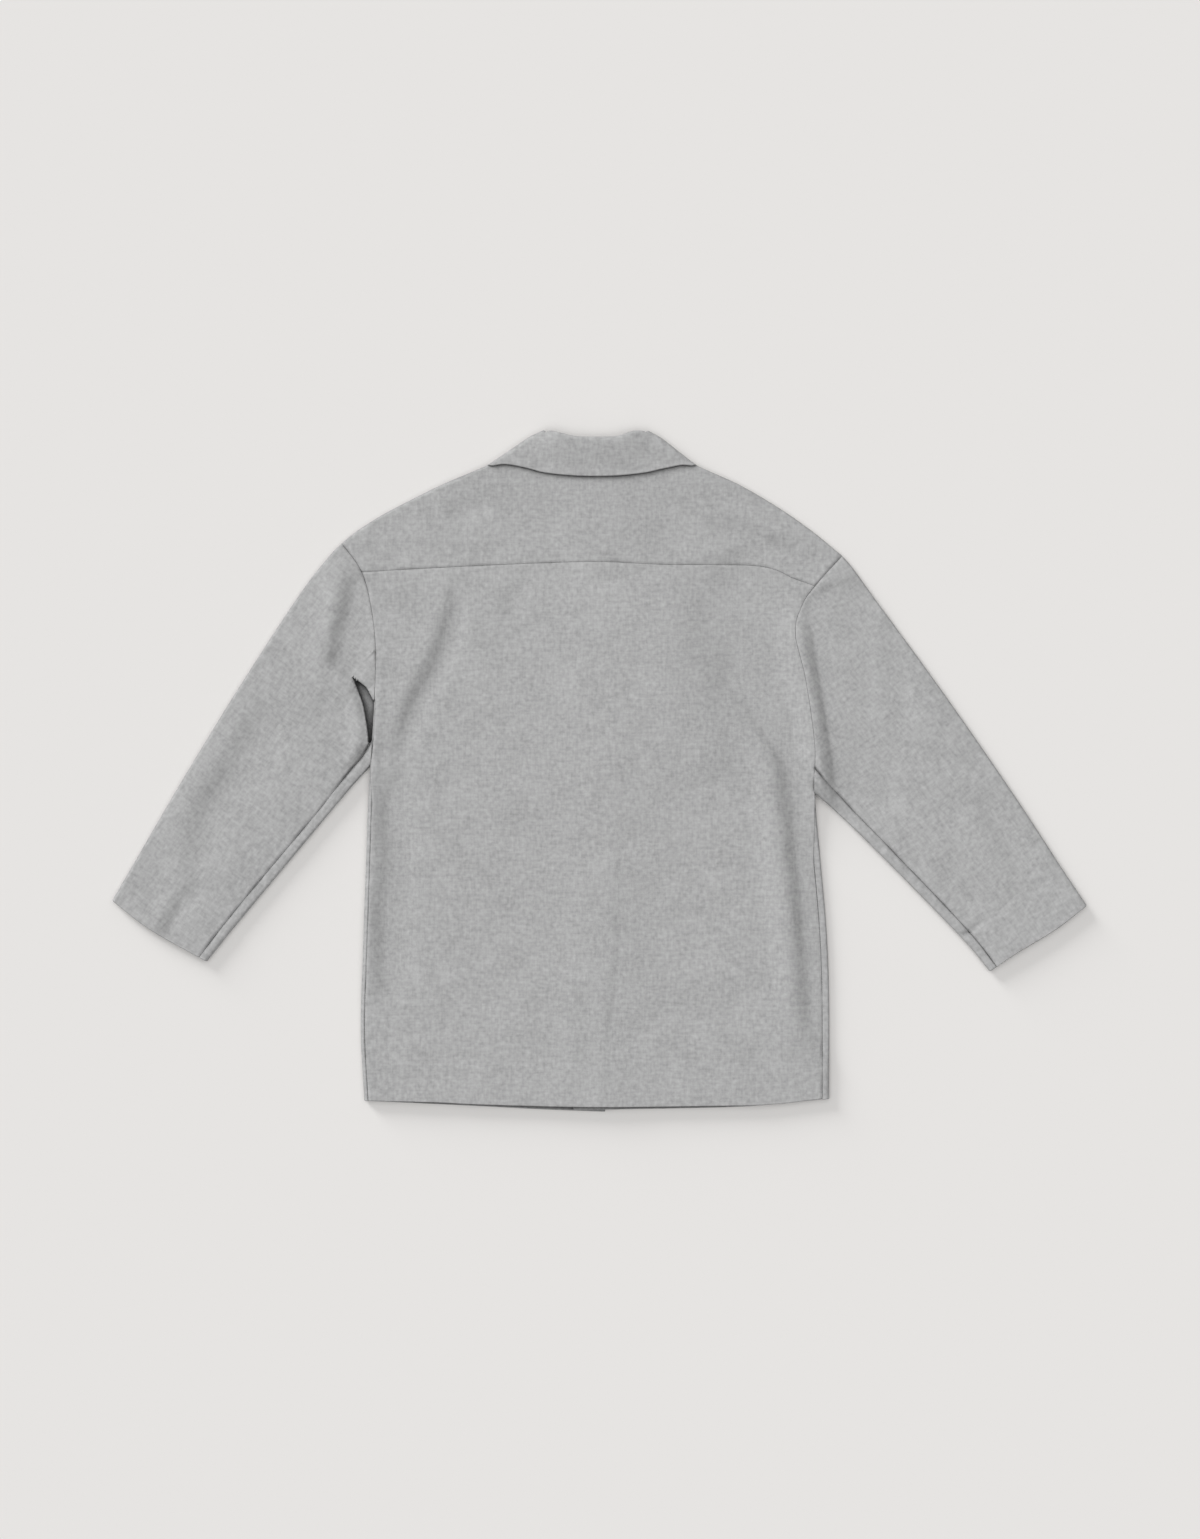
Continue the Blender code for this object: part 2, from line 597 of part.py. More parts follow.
def yoke_column(top_path, under_path):
    """Section of the yoke from its turned-under edge, round the shoulder, to the seam."""
    width = lengths(top_path)[-1]
    if under_path is None:
        points = along(top_path, np.linspace(0, width, YOKE_TOP_POINTS))
        skin = np.column_stack([points, top_height(points)])
        outer = np.vstack([np.repeat(skin[:1], YOKE_TURNED_POINTS, axis=0), skin])
        return outer, outer - np.array([0, 0, CLOTH])
    turn = lengths(under_path)[-1]
    high = float(top_height(along(top_path, [FOLD_RADIUS]))[0])
    low = float(under_height(along(under_path, [FOLD_RADIUS]))[0])
    radius = (high - low) / 2
    under = np.append(turn * np.array(YOKE_TURN_SHARES), radius)
    upper = np.linspace(radius, width, YOKE_TOP_POINTS)
    low_z = under_height(along(under_path, under))
    low_z[-1] = low
    high_z = top_height(along(top_path, upper))
    high_z[0] = high
    rise = half_round(-radius, low, high, -90)[:-1]
    section = np.vstack([
        np.column_stack([-under, low_z]),
        rise,
        np.column_stack([-upper, high_z]),
    ])
    below = len(under) + len(rise) // 2
    sides = []
    for points in (section, inner_side(section)):
        inset = np.maximum(-points[:, 0], 0)
        plan = np.vstack([along(under_path, inset[:below]), along(top_path, inset[below:])])
        sides.append(np.column_stack([plan, points[:, 1]]))
    return sides


def back_yoke():
    seam = yoke_seam + left_of(yoke_seam) * SEAM_GAP / 2
    seam_points = at(seam, np.linspace(0, 1, BACK_COLUMNS))
    columns = []
    for index, seam_point in enumerate(seam_points):
        from_left = index < BACK_COLUMNS / 2
        run, under, armhole = left_yoke if from_left else right_yoke
        place = index if from_left else BACK_COLUMNS - 1 - index
        if place >= YOKE_SHOULDER_COLUMNS:
            share = (index - YOKE_SHOULDER_COLUMNS + 1) / (NECK_COLUMNS + 1)
            columns.append((np.vstack([neck_point(share), seam_point]), None))
            continue
        share = [place / (YOKE_SHOULDER_COLUMNS - 1)]
        edge_point = at(run, share)
        under_path = np.vstack([edge_point, at(under, share)])
        top_path = np.vstack([edge_point, seam_point])
        if place == 0:
            seam_reach = np.interp(-seam_point[1], -armhole[:, 1], lengths(armhole))
            top_path = stretch(armhole, 0, seam_reach)
            under_path = stretch(armhole, 0, YOKE_TURN)
        columns.append((top_path, under_path))
    sections = [yoke_column(*column) for column in columns]
    outer = np.array([section[0] for section in sections])
    inner = np.array([section[1] for section in sections])
    kept = np.ones((BACK_COLUMNS - 1, outer.shape[1] - 1), bool)
    kept[YOKE_SHOULDER_COLUMNS - 1:-(YOKE_SHOULDER_COLUMNS - 1), :YOKE_TURNED_POINTS] = False
    return cloth_piece("back_yoke", outer, inner, kept)


left_yoke = yoke_shoulder(LEFT_SHOULDER, left_side, -1, FALL_EDGE[0], ROLL_EDGE[0])
right_yoke = yoke_shoulder(RIGHT_SHOULDER, right_side, 1, FALL_EDGE[-1], ROLL_EDGE[-1])


def collar():
    """Stand, roll and fall in one piece, folded round the neck's sides onto the fronts."""
    left_away = side_fold(FALL_EDGE[0], ROLL_EDGE[0], 1)[1]
    right_away = side_fold(FALL_EDGE[-1], ROLL_EDGE[-1], -1)[1]
    fold_angles = np.linspace(math.pi, 0, COLLAR_TURN_COLUMNS)
    columns = []
    for share in np.linspace(0, 1, COLLAR_LEAF_COLUMNS + 1)[:-1]:
        line = np.vstack([at(smooth(LEFT_LEAF_ROLL), [share]), at(smooth(LEFT_LEAF_EDGE), [share])])
        columns.append((line, math.pi, left_away))
    for angle in fold_angles:
        columns.append((collar_column(0)[::-1], angle, left_away))
    for share in np.linspace(0, 1, NECK_COLUMNS + 2)[1:-1]:
        columns.append((collar_column(share)[::-1], 0.0, left_away))
    for angle in fold_angles[::-1]:
        columns.append((collar_column(1)[::-1], angle, right_away))
    for share in np.linspace(0, 1, COLLAR_LEAF_COLUMNS + 1)[1:]:
        line = np.vstack([at(smooth(RIGHT_LEAF_ROLL), [share]), at(smooth(RIGHT_LEAF_EDGE), [share])])
        columns.append((line, math.pi, right_away))
    roll_radius = (FALL_RADIUS - STAND_RADIUS) / 2
    outer = []
    inner = []
    for line, angle, away in columns:
        width = lengths(line)[-1]
        stand = np.array([STAND_DEPTH, STAND_DEPTH / 2, roll_radius])
        fall = np.linspace(roll_radius, width, COLLAR_FALL_POINTS + 1)[1:]
        section = np.vstack([
            np.column_stack([-stand, np.full(len(stand), STAND_RADIUS)]),
            half_round(-roll_radius, STAND_RADIUS, FALL_RADIUS, -90),
            np.column_stack([-fall, np.full(len(fall), FALL_RADIUS)]),
        ])
        for points, grid in ((section, outer), (inner_side(section), inner)):
            plan = along(line, np.maximum(-points[:, 0], 0))
            plan = plan + away * (points[:, 1] * math.sin(angle))[:, None]
            height = NECK_AXIS_HEIGHT + points[:, 1] * math.cos(angle)
            grid.append(np.column_stack([plan, height]))
    outer = np.array(outer)
    inner = np.array(inner)
    kept = np.ones((len(columns) - 1, outer.shape[1] - 1), bool)
    return cloth_piece("collar", outer, inner, kept)


def neck_line(leaf_roll, leaf_edge, centre, under):
    """Upper edge of a front: beside the stand, then beside the yoke's turned-under edge."""
    points = [centre]
    for share in np.linspace(0, NECK_SHARE, FRONT_NECK_POINTS):
        line = np.vstack([at(smooth(leaf_roll), [share]), at(smooth(leaf_edge), [share])])
        points.append(along(line, [STAND_DEPTH + SIDE_SEAM_GAP + SEAM_GAP])[0])
    seam = at(under, np.linspace(1, 0, YOKE_SHOULDER_COLUMNS))
    inward = left_of(seam)
    inward *= np.sign((np.array(centre) - seam[0]) @ inward[0])
    return np.vstack([points, seam + inward * SIDE_SEAM_GAP])


def button(index):
    mesh_data = bmesh.new()
    bmesh.ops.create_cone(
        mesh_data, cap_ends=True, segments=BUTTON_SIDES,
        radius1=BUTTON_RADIUS * MM, radius2=BUTTON_RADIUS * MM, depth=BUTTON_HEIGHT * MM,
    )
    rims = [edge for edge in mesh_data.edges if abs(edge.verts[0].co.z - edge.verts[1].co.z) < 1e-6]
    bmesh.ops.bevel(mesh_data, geom=rims, offset=BUTTON_BEVEL * MM, segments=1, affect="EDGES")
    mesh = bpy.data.meshes.new(f"button_{index + 1}")
    mesh_data.to_mesh(mesh)
    mesh_data.free()
    material = bpy.data.materials.new(f"button_{index + 1}_plastic")
    material.use_nodes = True
    shader = material.node_tree.nodes["Principled BSDF"]
    shader.inputs["Base Color"].default_value = BUTTON_COLOUR
    shader.inputs["Roughness"].default_value = BUTTON_ROUGHNESS
    material.diffuse_color = BUTTON_COLOUR
    piece = finish_object(f"button_{index + 1}", mesh, material)
    y = BUTTON_FIRST_Y - index * BUTTON_PITCH
    piece.location = (BUTTON_X * MM, y * MM, BUTTON_HEIGHT / 2 * MM)
    return piece


def main():
    for item in list(bpy.data.objects):
        bpy.data.objects.remove(item)
    back_panel()
    back_yoke()
    front(
        "front_left", left_front_edge, smooth(LEFT_FRONT_HEM), left_side, LEFT_SEAM_INSET,
        FRONT_ROWS_BELOW,
        neck_line(LEFT_LEAF_ROLL, LEFT_LEAF_EDGE, LEFT_FRONT_EDGE[-1], left_yoke[1]),
        under_height,
    )
    front(
        "front_right", smooth(RIGHT_FRONT_EDGE), smooth(RIGHT_FRONT_HEM), right_side,
        RIGHT_SEAM_INSET, FRONT_ROWS_BELOW + FRONT_ROWS_BESIDE - 1,
        neck_line(RIGHT_LEAF_ROLL[::-1], RIGHT_LEAF_EDGE[::-1], RIGHT_FRONT_EDGE[-1], right_yoke[1]),
        lapped_height,
    )
    sleeve(
        "sleeve_left", left_side, LEFT_NOTCH_Y, 1, LEFT_SLEEVE_OUTER, LEFT_SLEEVE_INNER,
        LEFT_CUFF, LEFT_UNDERARM_INSET,
    )
    sleeve(
        "sleeve_right", right_side, RIGHT_NOTCH_Y, -1, RIGHT_SLEEVE_OUTER, RIGHT_SLEEVE_INNER,
        RIGHT_CUFF, RIGHT_UNDERARM_INSET,
    )
    collar()
    for index in range(BUTTON_COUNT):
        button(index)


main()
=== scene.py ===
# %% [markdown]
# # A wool jacket, laid flat with its back up
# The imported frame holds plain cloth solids: a back, a yoke, two fronts, two sleeves, a collar
# and five buttons. This lesson sews them again as finer cloth. Each panel becomes a closed
# wall of small quads, so that folds, seams and rounded edges are real shape, and the wool
# itself is a node material. Sizes are in millimetres until a mesh is made.

# %% Load the frame
import math

import bmesh
import bpy
import numpy as np
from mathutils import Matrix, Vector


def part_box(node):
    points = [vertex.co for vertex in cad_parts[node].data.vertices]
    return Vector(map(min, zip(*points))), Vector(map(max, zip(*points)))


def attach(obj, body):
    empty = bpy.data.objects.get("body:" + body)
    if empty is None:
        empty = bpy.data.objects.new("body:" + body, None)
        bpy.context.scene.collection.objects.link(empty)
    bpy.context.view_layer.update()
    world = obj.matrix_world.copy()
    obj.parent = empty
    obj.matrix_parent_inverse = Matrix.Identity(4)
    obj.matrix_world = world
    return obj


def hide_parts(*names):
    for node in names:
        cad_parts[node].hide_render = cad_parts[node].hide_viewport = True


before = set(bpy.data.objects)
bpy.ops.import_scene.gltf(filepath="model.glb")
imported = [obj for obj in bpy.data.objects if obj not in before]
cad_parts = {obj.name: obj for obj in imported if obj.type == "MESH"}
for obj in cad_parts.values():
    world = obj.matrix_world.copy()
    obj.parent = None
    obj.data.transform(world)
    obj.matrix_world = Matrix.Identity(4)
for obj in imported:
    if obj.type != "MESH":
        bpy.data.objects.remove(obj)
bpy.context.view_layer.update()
MM = 0.001
print("cloth solids:", sorted(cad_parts))

# %% [markdown]
# ## The outline
# A flat garment is mostly its outline. Each edge is a short table of points through which a
# smooth curve runs, X across the jacket and Y towards the collar. Left and right are the
# wearer's, so left lies at -X. The body's and the sleeves' tables are those of the solids,
# because the finer cloth has to lie where they are. The collar's are drawn a little finer.

# %% Edges of the flat garment, x and y
LEFT_SIDE = [
    (-235, -329), (-238.5, -259), (-236.5, -182), (-233.5, -99), (-231.5, -38), (-228.5, 12),
    (-225, 69), (-223.5, 121), (-228, 163), (-237.5, 199), (-257.5, 227.5),
]
RIGHT_SIDE = [
    (229.5, -327), (229.5, -229), (227, -160), (220.5, -85), (215, -22), (215, 28),
    (206, 92), (195.5, 139), (203, 167), (218, 188), (242.5, 215),
]
LEFT_SHOULDER = [
    (-257.5, 227.5), (-244.5, 238), (-226.5, 250), (-205.5, 262), (-157.5, 286), (-110.1, 304.3),
]
RIGHT_SHOULDER = [
    (242.5, 215), (214.5, 238), (180.5, 262), (139.5, 286), (94.7, 305),
]
YOKE_SEAM = [
    (-237.3, 198.6), (-185.5, 201.6), (-95.5, 206.1), (-4.5, 208.8), (65, 206.1), (158.5, 204.7),
    (195, 192), (215.5, 184.8),
]
BACK_HEM = [
    (-235, -329), (-160, -330.5), (-119, -332.5), (-9.5, -335), (110, -334), (170.5, -332.5),
    (229.5, -327),
]
LEFT_SLEEVE_OUTER = [
    (-257.5, 227.5), (-270.5, 214), (-298.5, 178), (-353.5, 94), (-412.5, -2), (-468.5, -98),
    (-486.5, -129),
]
LEFT_CUFF = [(-486.5, -129), (-448.5, -158), (-392, -190)]
LEFT_SLEEVE_INNER = [(-229, 5), (-252.5, -21.5), (-308.5, -88.5), (-365.5, -157), (-392, -190)]
RIGHT_SLEEVE_OUTER = [
    (242.5, 215), (253.5, 202), (279.5, 166), (323.5, 106), (374.5, 34), (423.5, -38),
    (460.5, -95), (486.5, -134),
]
RIGHT_CUFF = [(486.5, -134), (455.5, -158), (417.5, -181), (389.5, -200)]
RIGHT_SLEEVE_INNER = [(215, -22), (248.5, -52), (315.5, -119), (366.5, -172), (389.5, -200)]
LEFT_FRONT_EDGE = [(5, -340), (5, -272), (13.5, -172), (16, -66), (14, 100), (13, 242)]
RIGHT_FRONT_EDGE = [(-26, -338), (-24, -170), (-22, 0), (-22, 120), (-23, 242)]
LEFT_FRONT_HEM = [(5, -340), (-60, -337.5), (-119, -334.5), (-235, -329)]
RIGHT_FRONT_HEM = [(-26, -338), (60, -337), (150, -334.5), (229.5, -327)]
print("cuff to cuff", RIGHT_CUFF[0][0] - LEFT_CUFF[0][0], "mm")

# %% Collar in plan, x and y
FALL_EDGE = [
    (-106.5, 304.8), (-98, 306.3), (-89.5, 306), (-72, 302.5), (-54.5, 298), (-28, 295.2),
    (-4.5, 294.5), (20, 295.2), (45.5, 298), (60, 301.2), (70.5, 303.4), (82, 305.6), (91.2, 305),
]
ROLL_EDGE = [
    (-53.5, 338), (-50, 339.6), (-46, 339.4), (-40, 337.9), (-27, 334.6), (-15, 333.7),
    (1, 333.5), (15, 334), (22, 335.2), (28, 337.6), (33, 339.2), (40, 339.8), (44.5, 339),
    (46, 337.8),
]
COLLAR_LOWEST = (-4, 290)
LEFT_LEAF_EDGE = [(-78, 222), (-95, 262), (-106.5, 304.8)]
LEFT_LEAF_ROLL = [(-11, 262), (-30, 296), (-53.5, 338)]
RIGHT_LEAF_EDGE = [(91.2, 305), (83, 262), (68, 222)]
RIGHT_LEAF_ROLL = [(46, 337.8), (22, 296), (2.5, 262)]
print("collar's fall, end to end", FALL_EDGE[-1][0] - FALL_EDGE[0][0], "mm")

# %% [markdown]
# ## Curves from tables
# A Catmull-Rom curve passes through every point of its table, which makes it the easy choice
# for an outline that was measured. Everything else here is walking along such a curve: a
# place at a distance, a stretch of it, the direction beside it, or how far a point is from it.

# %% Curve helpers
CURVE_POINTS = 161
CURVE_STEPS = 16


def lengths(curve):
    steps = np.linalg.norm(np.diff(curve, axis=0), axis=1)
    return np.concatenate([[0.0], np.cumsum(steps)])


def along(curve, distances):
    """Points at given distances from the start of a curve."""
    reach = lengths(curve)
    return np.column_stack([np.interp(distances, reach, curve[:, k]) for k in range(2)])


def at(curve, shares):
    """Points at given shares of a curve's length."""
    return along(curve, np.asarray(shares) * lengths(curve)[-1])


def smooth(table, count=CURVE_POINTS):
    """Evenly spaced points on a smooth curve through a short table."""
    points = np.array(table, float)
    padded = np.vstack([2 * points[0] - points[1], points, 2 * points[-1] - points[-2]])
    steps = np.linspace(0, 1, CURVE_STEPS, endpoint=False)[:, None]
    pieces = []
    for a, b, c, d in zip(padded, padded[1:], padded[2:], padded[3:]):
        bend = 2 * a - 5 * b + 4 * c - d
        twist = 3 * b - a - 3 * c + d
        pieces.append(b + 0.5 * ((c - a) * steps + bend * steps**2 + twist * steps**3))
    fine = np.vstack(pieces + [points[-1:]])
    return at(fine, np.linspace(0, 1, count))


def left_of(curve):
    """Unit directions to the left of a curve's run."""
    run = np.gradient(curve, axis=0)
    run /= np.linalg.norm(run, axis=1)[:, None]
    return np.column_stack([-run[:, 1], run[:, 0]])


def reach_at_height(curve, y):
    """Distance along a rising curve to the height y."""
    return float(np.interp(y, curve[:, 1], lengths(curve)))


def stretch(curve, start, end, count=CURVE_POINTS):
    """The part of a curve between two distances from its start."""
    return along(curve, np.linspace(start, end, count))


# %% Distances from a route and from a polygon
def to_route(points, route):
    """Distance from points to a route, the share of it at the nearest place, and its side."""
    nearest = np.full(len(points), np.inf)
    share = np.zeros(len(points))
    side = np.ones(len(points))
    reach = lengths(route)
    for index, (a, b) in enumerate(zip(route, route[1:])):
        run = b - a
        t = np.clip((points - a) @ run / (run @ run), 0, 1)
        away = points - a - t[:, None] * run
        gap = np.linalg.norm(away, axis=1)
        closer = gap < nearest
        nearest = np.where(closer, gap, nearest)
        here = (reach[index] + t * (reach[index + 1] - reach[index])) / reach[-1]
        share = np.where(closer, here, share)
        side = np.where(closer, np.sign(run[0] * away[:, 1] - run[1] * away[:, 0]), side)
    return nearest, share, side


def outside(points, polygon):
    """Distance outside a convex polygon whose corners run anticlockwise, 0 within it."""
    corners = np.array(polygon, float)
    runs = np.roll(corners, -1, axis=0) - corners
    outward = np.column_stack([runs[:, 1], -runs[:, 0]])
    outward /= np.linalg.norm(outward, axis=1)[:, None]
    gaps = np.einsum("pcd,cd->pc", points[:, None, :] - corners[None], outward)
    return np.maximum(gaps.max(axis=1), 0)


def ease(value):
    value = np.clip(value, 0, 1)
    return value * value * (3 - 2 * value)


# %% Curves of the outline
left_side = smooth(LEFT_SIDE)
right_side = smooth(RIGHT_SIDE)
left_front_edge = smooth(LEFT_FRONT_EDGE)
yoke_seam = smooth(YOKE_SEAM)
fall_edge = smooth(FALL_EDGE)
roll_edge = smooth(ROLL_EDGE)
for title, curve in (("left side", left_side), ("yoke seam", yoke_seam)):
    print(title, round(lengths(curve)[-1]), "mm")

# %% [markdown]
# ## Where the seams lie
# The side seams and the underarm seams are not on the folded edges. When the jacket was laid
# down they rolled a few millimetres onto the upper side, so each seam is an inset from its
# fold. Above the underarm the side curve is the armhole seam itself.

# %% Seam places
CLOTH = 2.0
SEAM_GAP = 0.2
SIDE_SEAM_GAP = 0.2
PRESSED = 0.3
LEFT_UNDERARM_Y = 69.0
RIGHT_UNDERARM_Y = 131.0
TURN_START = 3.0
TURN_END = 9.0
LEFT_NOTCH_Y = 5.0
RIGHT_NOTCH_Y = -22.0
# Columns: y, inset
LEFT_SEAM_INSET = [(-335, 4.0), (-30, 4.0), (0, 0.4), (69, 0.4)]
RIGHT_SEAM_INSET = [(-335, 7.0), (-90, 7.0), (-30, 0.4), (131, 0.4)]
# Columns: share of the sleeve's length, inset
LEFT_UNDERARM_INSET = [(0.0, 26.0), (0.05, 19.0), (0.3, 13.0), (1.0, 8.8)]
RIGHT_UNDERARM_INSET = [(0.0, 25.0), (0.05, 21.0), (0.2, 16.0), (0.5, 12.5), (1.0, 8.5)]
EDGE_POINTS = 41


def side_seam(side, insets, underarm_y, inward):
    """Edge of the back: the side seam up to the underarm, then the armhole seam."""
    table = insets + [
        (underarm_y + TURN_START, insets[-1][1]),
        (underarm_y + TURN_END, SEAM_GAP / 2 - SIDE_SEAM_GAP),
    ]
    heights, sizes = np.array(table).T
    moves = np.interp(side[:, 1], heights, sizes) + SIDE_SEAM_GAP
    return side + inward * left_of(side) * moves[:, None]


def patch_row(patch, share, count=CURVE_POINTS):
    """A line across a four-sided patch, from its left curve to its right curve."""
    bottom, top, left, right = patch
    u = np.linspace(0, 1, count)
    across = u[:, None]
    low = at(bottom, u)
    high = at(top, u)
    start = at(left, [share])
    end = at(right, [share])
    corners = (1 - share) * ((1 - across) * low[0] + across * low[-1])
    corners += share * ((1 - across) * high[0] + across * high[-1])
    return (1 - share) * low + share * high + (1 - across) * start + across * end - corners


def sleeve_patch(side, underarm_y, notch_y, outward, outer_edge, inner_edge, cuff):
    """Four curves round a sleeve: armhole, cuff, outer fold and inner fold."""
    beside = ease((side[:, 1] - underarm_y) / TURN_END)
    gaps = beside * SIDE_SEAM_GAP - (1 - beside) * PRESSED
    armhole = side + outward * left_of(side) * gaps[:, None]
    armhole = stretch(armhole, lengths(armhole)[-1], reach_at_height(armhole, notch_y))
    outer_curve = smooth([tuple(armhole[0])] + outer_edge[1:])
    inner_curve = smooth([tuple(armhole[-1])] + inner_edge[1:])
    return armhole, smooth(cuff), outer_curve, inner_curve


def underarm_seam(patch, insets, count=EDGE_POINTS):
    """Route of a sleeve's seam, an inset from its inner fold."""
    points = []
    for level in np.linspace(0, 1, count):
        path = patch_row(patch, level)
        inset = np.interp(level, *np.array(insets).T)
        points.append(along(path, [lengths(path)[-1] - inset])[0])
    return np.array(points)


# %% Seams and sleeve outlines
left_seam = side_seam(left_side, LEFT_SEAM_INSET, LEFT_UNDERARM_Y, -1)
right_seam = side_seam(right_side, RIGHT_SEAM_INSET, RIGHT_UNDERARM_Y, 1)
left_patch = sleeve_patch(
    left_side, LEFT_UNDERARM_Y, LEFT_NOTCH_Y, 1, LEFT_SLEEVE_OUTER, LEFT_SLEEVE_INNER, LEFT_CUFF,
)
right_patch = sleeve_patch(
    right_side, RIGHT_UNDERARM_Y, RIGHT_NOTCH_Y, -1, RIGHT_SLEEVE_OUTER, RIGHT_SLEEVE_INNER,
    RIGHT_CUFF,
)
left_underarm = underarm_seam(left_patch, LEFT_UNDERARM_INSET)
right_underarm = underarm_seam(right_patch, RIGHT_UNDERARM_INSET)
for seam in (left_underarm, right_underarm):
    print("underarm seam", round(lengths(seam)[-1]), "mm")

# %% [markdown]
# ## How high the upper side stands
# Two layers of wool lie on each other and the air between them is thin: the upper side stands
# about 6 mm above the table at a fold and a little more in the middle. Where the two fronts
# lap underneath, and under the collar, more layers lift it. A fold is a soft trough or ridge,
# a bell-shaped change of height across a route that fades at its ends. A cloth simulation
# could make folds of its own, but not these folds in these places, so they are listed one by one.

# %% Heights
EDGE_HEIGHT = 6.0
FOLD_RADIUS = EDGE_HEIGHT / 2
PUFF = 1.2
PUFF_REACH = 45.0
LEAST_HEIGHT = 4.2
LEAST_SOFTNESS = 0.6
LAP_HUMP = 2.8
LAP_HUMP_REACH = 40.0
NECK_AXIS_HEIGHT = 5.5
FALL_RADIUS = 5.5
STAND_RADIUS = 1.0
STAND_DEPTH = 30.0
NECK_HEIGHT = NECK_AXIS_HEIGHT + STAND_RADIUS + CLOTH
LEAF_RISE = NECK_AXIS_HEIGHT - STAND_RADIUS - CLOTH
NECK_REACH = 40.0
NECK_MARGIN = 12.0
FALL_DIP = 0.4
FALL_DIP_REACH = 9.0
LEAF_REACH = 20.0
LAYER_GAP = 0.6
LAP_SLOPE = 18.0
BUTTON_X = -6.0
BUTTON_RADIUS = 9.0
BUTTON_HEIGHT = 2.4
BUTTON_FIRST_Y = 205.0
BUTTON_PITCH = 105.0
BUTTON_COUNT = 5
RIDGE_RISE = BUTTON_HEIGHT + SEAM_GAP
RIDGE_HALF_WIDTH = 10.5
RIDGE_SLOPE = 15.0
RIDGE_END_SLOPE = 40.0
print("upper side at a fold", EDGE_HEIGHT, "mm, under the collar", NECK_HEIGHT, "mm")

# %% Folds
# Columns: piece, half width, height, route of x, y
FOLDS = [
    ("body", 15, -1.8, [(-142, 179), (-160, 111), (-178, 76), (-203, 8)]),
    ("body", 11, -1.1, [(-196, 30), (-215, -89), (-218, -149), (-206, -232)]),
    ("body", 22, 0.9, [(-180, 150), (-196, 80), (-214, 30)]),
    ("body", 12, -0.7, [(-82, 192), (-96, 150)]),
    ("body", 18, -0.9, [(62, 198), (100, 168), (128, 112)]),
    ("body", 20, -1.7, [(118, 130), (150, 60), (184, 18), (190, -39), (196, -100)]),
    ("body", 12, -2.2, [(180, 30), (191, -39), (199, -119), (205, -190), (209, -262)]),
    ("body", 10, -0.9, [(128, 249), (203, 212)]),
    ("body", 13, -0.6, [(-152, 260), (-112, 276)]),
    ("sleeve", 10, -1.6, [(-242, 198), (-250, 166), (-260, 131), (-268, 100)]),
    ("sleeve", 18, -0.9, [(-325, 90), (-370, 0), (-397, -39), (-417, -99)]),
    ("sleeve", 10, -0.9, [(-408, -88), (-424, -139), (-438, -162)]),
    ("sleeve", 6, -1.6, [(-268, 118), (-258, 105), (-247, 95)]),
    ("sleeve", 5, -1.6, [(-231, 27), (-240, 14), (-249, 4), (-258, -6)]),
    ("sleeve", 12, -2.0, [(214, 146), (227, 110), (237, 60), (241, 6), (240, -24)]),
    ("sleeve", 17, -1.1, [(280, 150), (288, 71), (282, 8)]),
    ("sleeve", 16, -0.9, [(375, -25), (400, -70), (420, -112)]),
]
# Finer creases, and cloth pushed up at the underarms. Columns as above
CREASES = [
    ("body", 7, -0.7, [(-136, 150), (-150, 116), (-158, 92)]),
    ("body", 9, 0.6, [(-128, 160), (-142, 112), (-158, 78)]),
    ("body", 8, -0.5, [(-221, 60), (-218, -10), (-222, -70)]),
    ("body", 8, 0.7, [(205, 20), (206, -60), (213, -130), (217, -200)]),
    ("body", 6, -0.6, [(170, 60), (183, 15), (188, -30)]),
    ("body", 10, 0.5, [(104, 160), (132, 104), (150, 52)]),
    ("body", 30, 0.5, [(-80, 120), (-95, 0), (-90, -150)]),
    ("body", 26, -0.4, [(80, 60), (92, -60), (84, -200)]),
    ("body", 3, 0.4, [(17, -66), (13.5, -172), (5, -272), (5, -330)]),
    ("body", 9, 0.4, [(150, 262), (196, 226)]),
    ("sleeve", 8, 0.7, [(-256, 190), (-266, 150), (-278, 104)]),
    ("sleeve", 7, -0.6, [(-262, 120), (-272, 84), (-280, 40)]),
    ("sleeve", 9, 0.5, [(-345, 80), (-388, 0), (-415, -50)]),
    ("sleeve", 6, 0.4, [(-402, -96), (-414, -136)]),
    ("sleeve", 8, 3.0, [(-262, 104), (-249, 80), (-243, 60), (-240, 40), (-244, 18), (-258, 0)]),
    ("sleeve", 6, 0.8, [(-246, 100), (-236, 91), (-228, 84)]),
    ("body", 9, 2.6, [(-221, 90), (-222, 60), (-225, 40), (-227, 20), (-229, -15)]),
    ("body", 26, 7.4, [
        (199, 176), (194, 150), (204, 95), (212, 50), (213, 10), (213, -25), (217, -85),
    ]),
    ("sleeve", 9, 0.6, [(238, 120), (246, 60), (246, 0)]),
    ("sleeve", 8, -0.5, [(262, 170), (268, 110), (262, 60)]),
    ("sleeve", 10, 0.5, [(304, 120), (312, 60), (306, 10)]),
    ("sleeve", 7, -0.5, [(330, 30), (352, -16), (366, -56)]),
]
